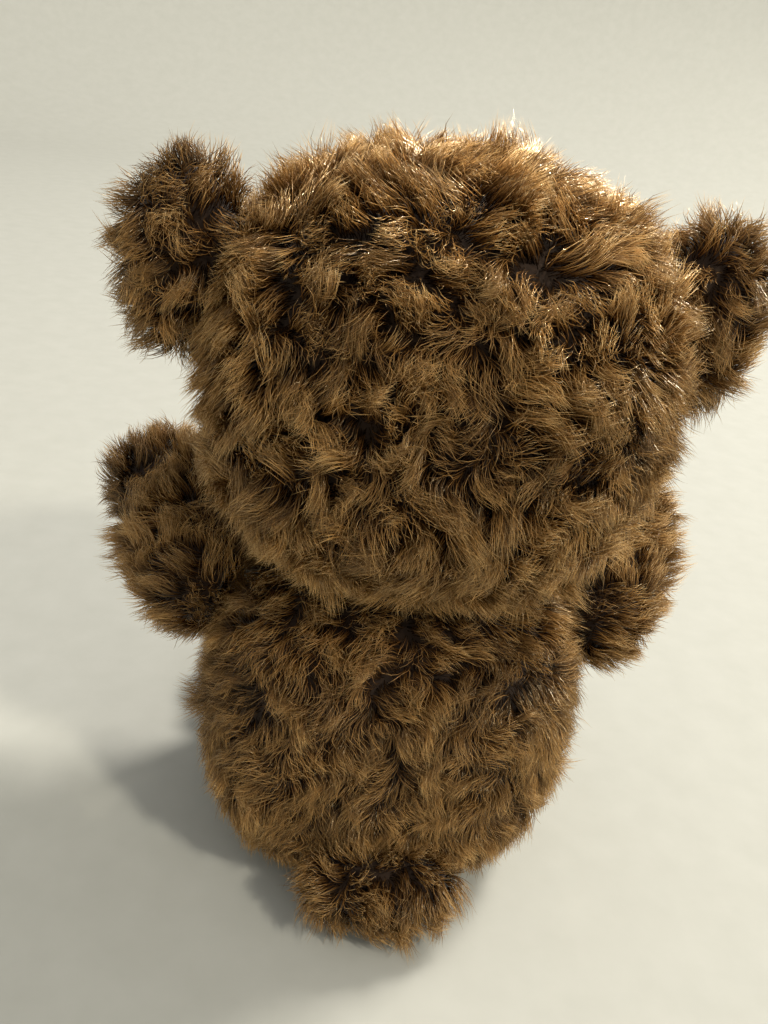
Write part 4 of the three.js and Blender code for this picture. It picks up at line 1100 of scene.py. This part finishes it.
def add_light(name, place, aim, size, power, color, cone=None):
    """A round area light, or a spot light with a cone of the given angle."""
    light = bpy.data.lights.new(name, "SPOT" if cone else "AREA")
    if cone:
        light.spot_size = cone
        light.spot_blend = 1.0
        light.shadow_soft_size = size
    else:
        light.shape = "DISK"
        light.size = size
    light.energy = power
    light.color = color
    obj = bpy.data.objects.new(name, light)
    bpy.context.scene.collection.objects.link(obj)
    obj.location = place
    obj.rotation_euler = (Vector(aim) - Vector(place)).to_track_quat("-Z", "Y").to_euler()


def make_stage():
    """A pale floor that curves up to a pale wall all round, so that it has no edge in any view."""
    flat, bend, high, steps = 1.6, 0.6, 1.6, 12
    outline = [(0.0, 0.0), (flat * 0.5, 0.0)]
    for k in range(steps + 1):
        angle = math.pi / 2 * k / steps
        outline.append((flat + bend * math.sin(angle), bend * (1 - math.cos(angle))))
    outline.append((flat + bend, high))
    sides, sink = 96, 0.2 * MM
    angles = [2 * math.pi * i / sides for i in range(sides)]
    verts = [(r * math.cos(a), r * math.sin(a), z - sink) for r, z in outline for a in angles]
    faces = []
    for ring in range(len(outline) - 1):
        for i in range(sides):
            n = (i + 1) % sides
            this, above = ring * sides, (ring + 1) * sides
            faces.append((this + i, this + n, above + n, above + i))
    floor = object_from("floor", verts, faces)
    look, tree, shader = new_look("pale_floor")
    grain = noise_node(tree, 60.0)
    stops = [(0.3, (0.435, 0.435, 0.395)), (0.7, (0.46, 0.46, 0.42))]
    tree.links.new(ramp_node(tree, grain, stops), shader.inputs["Base Color"])
    set_surface(shader, rough=0.8, specular=0.2)
    floor.data.materials.append(look)
    world = bpy.data.worlds.new("room")
    bpy.context.scene.world = world
    world.use_nodes = True
    background = world.node_tree.nodes["Background"]
    background.inputs["Color"].default_value = ROOM_COLOR
    background.inputs["Strength"].default_value = ROOM_STRENGTH
    bpy.context.scene.view_settings.view_transform = "Standard"
    add_light("key", (-1.6, -1.0, 2.4), (0, 0, 0.1), size=0.6, power=96.0, color=(1.0, 0.95, 0.86))
    crown = (HEAD_CENTRE[0], HEAD_CENTRE[1], HEAD_HIGH[2] - 0.02)
    add_light("crown", (-0.34, -0.42, 1.0), crown, size=0.04, power=115.0, color=(1.0, 0.9, 0.72), cone=0.145)
    add_light("fill", (-1.0, 1.1, 1.7), (0, 0, 0.12), size=0.2, power=23.0, color=(1.0, 0.94, 0.8))


make_camera()
make_stage()
dress_frame()
make_skins()
grow_all()
open_skins()
place_skins()
make_eyes()
make_lids()
make_nose()
make_tongue()
make_soles()
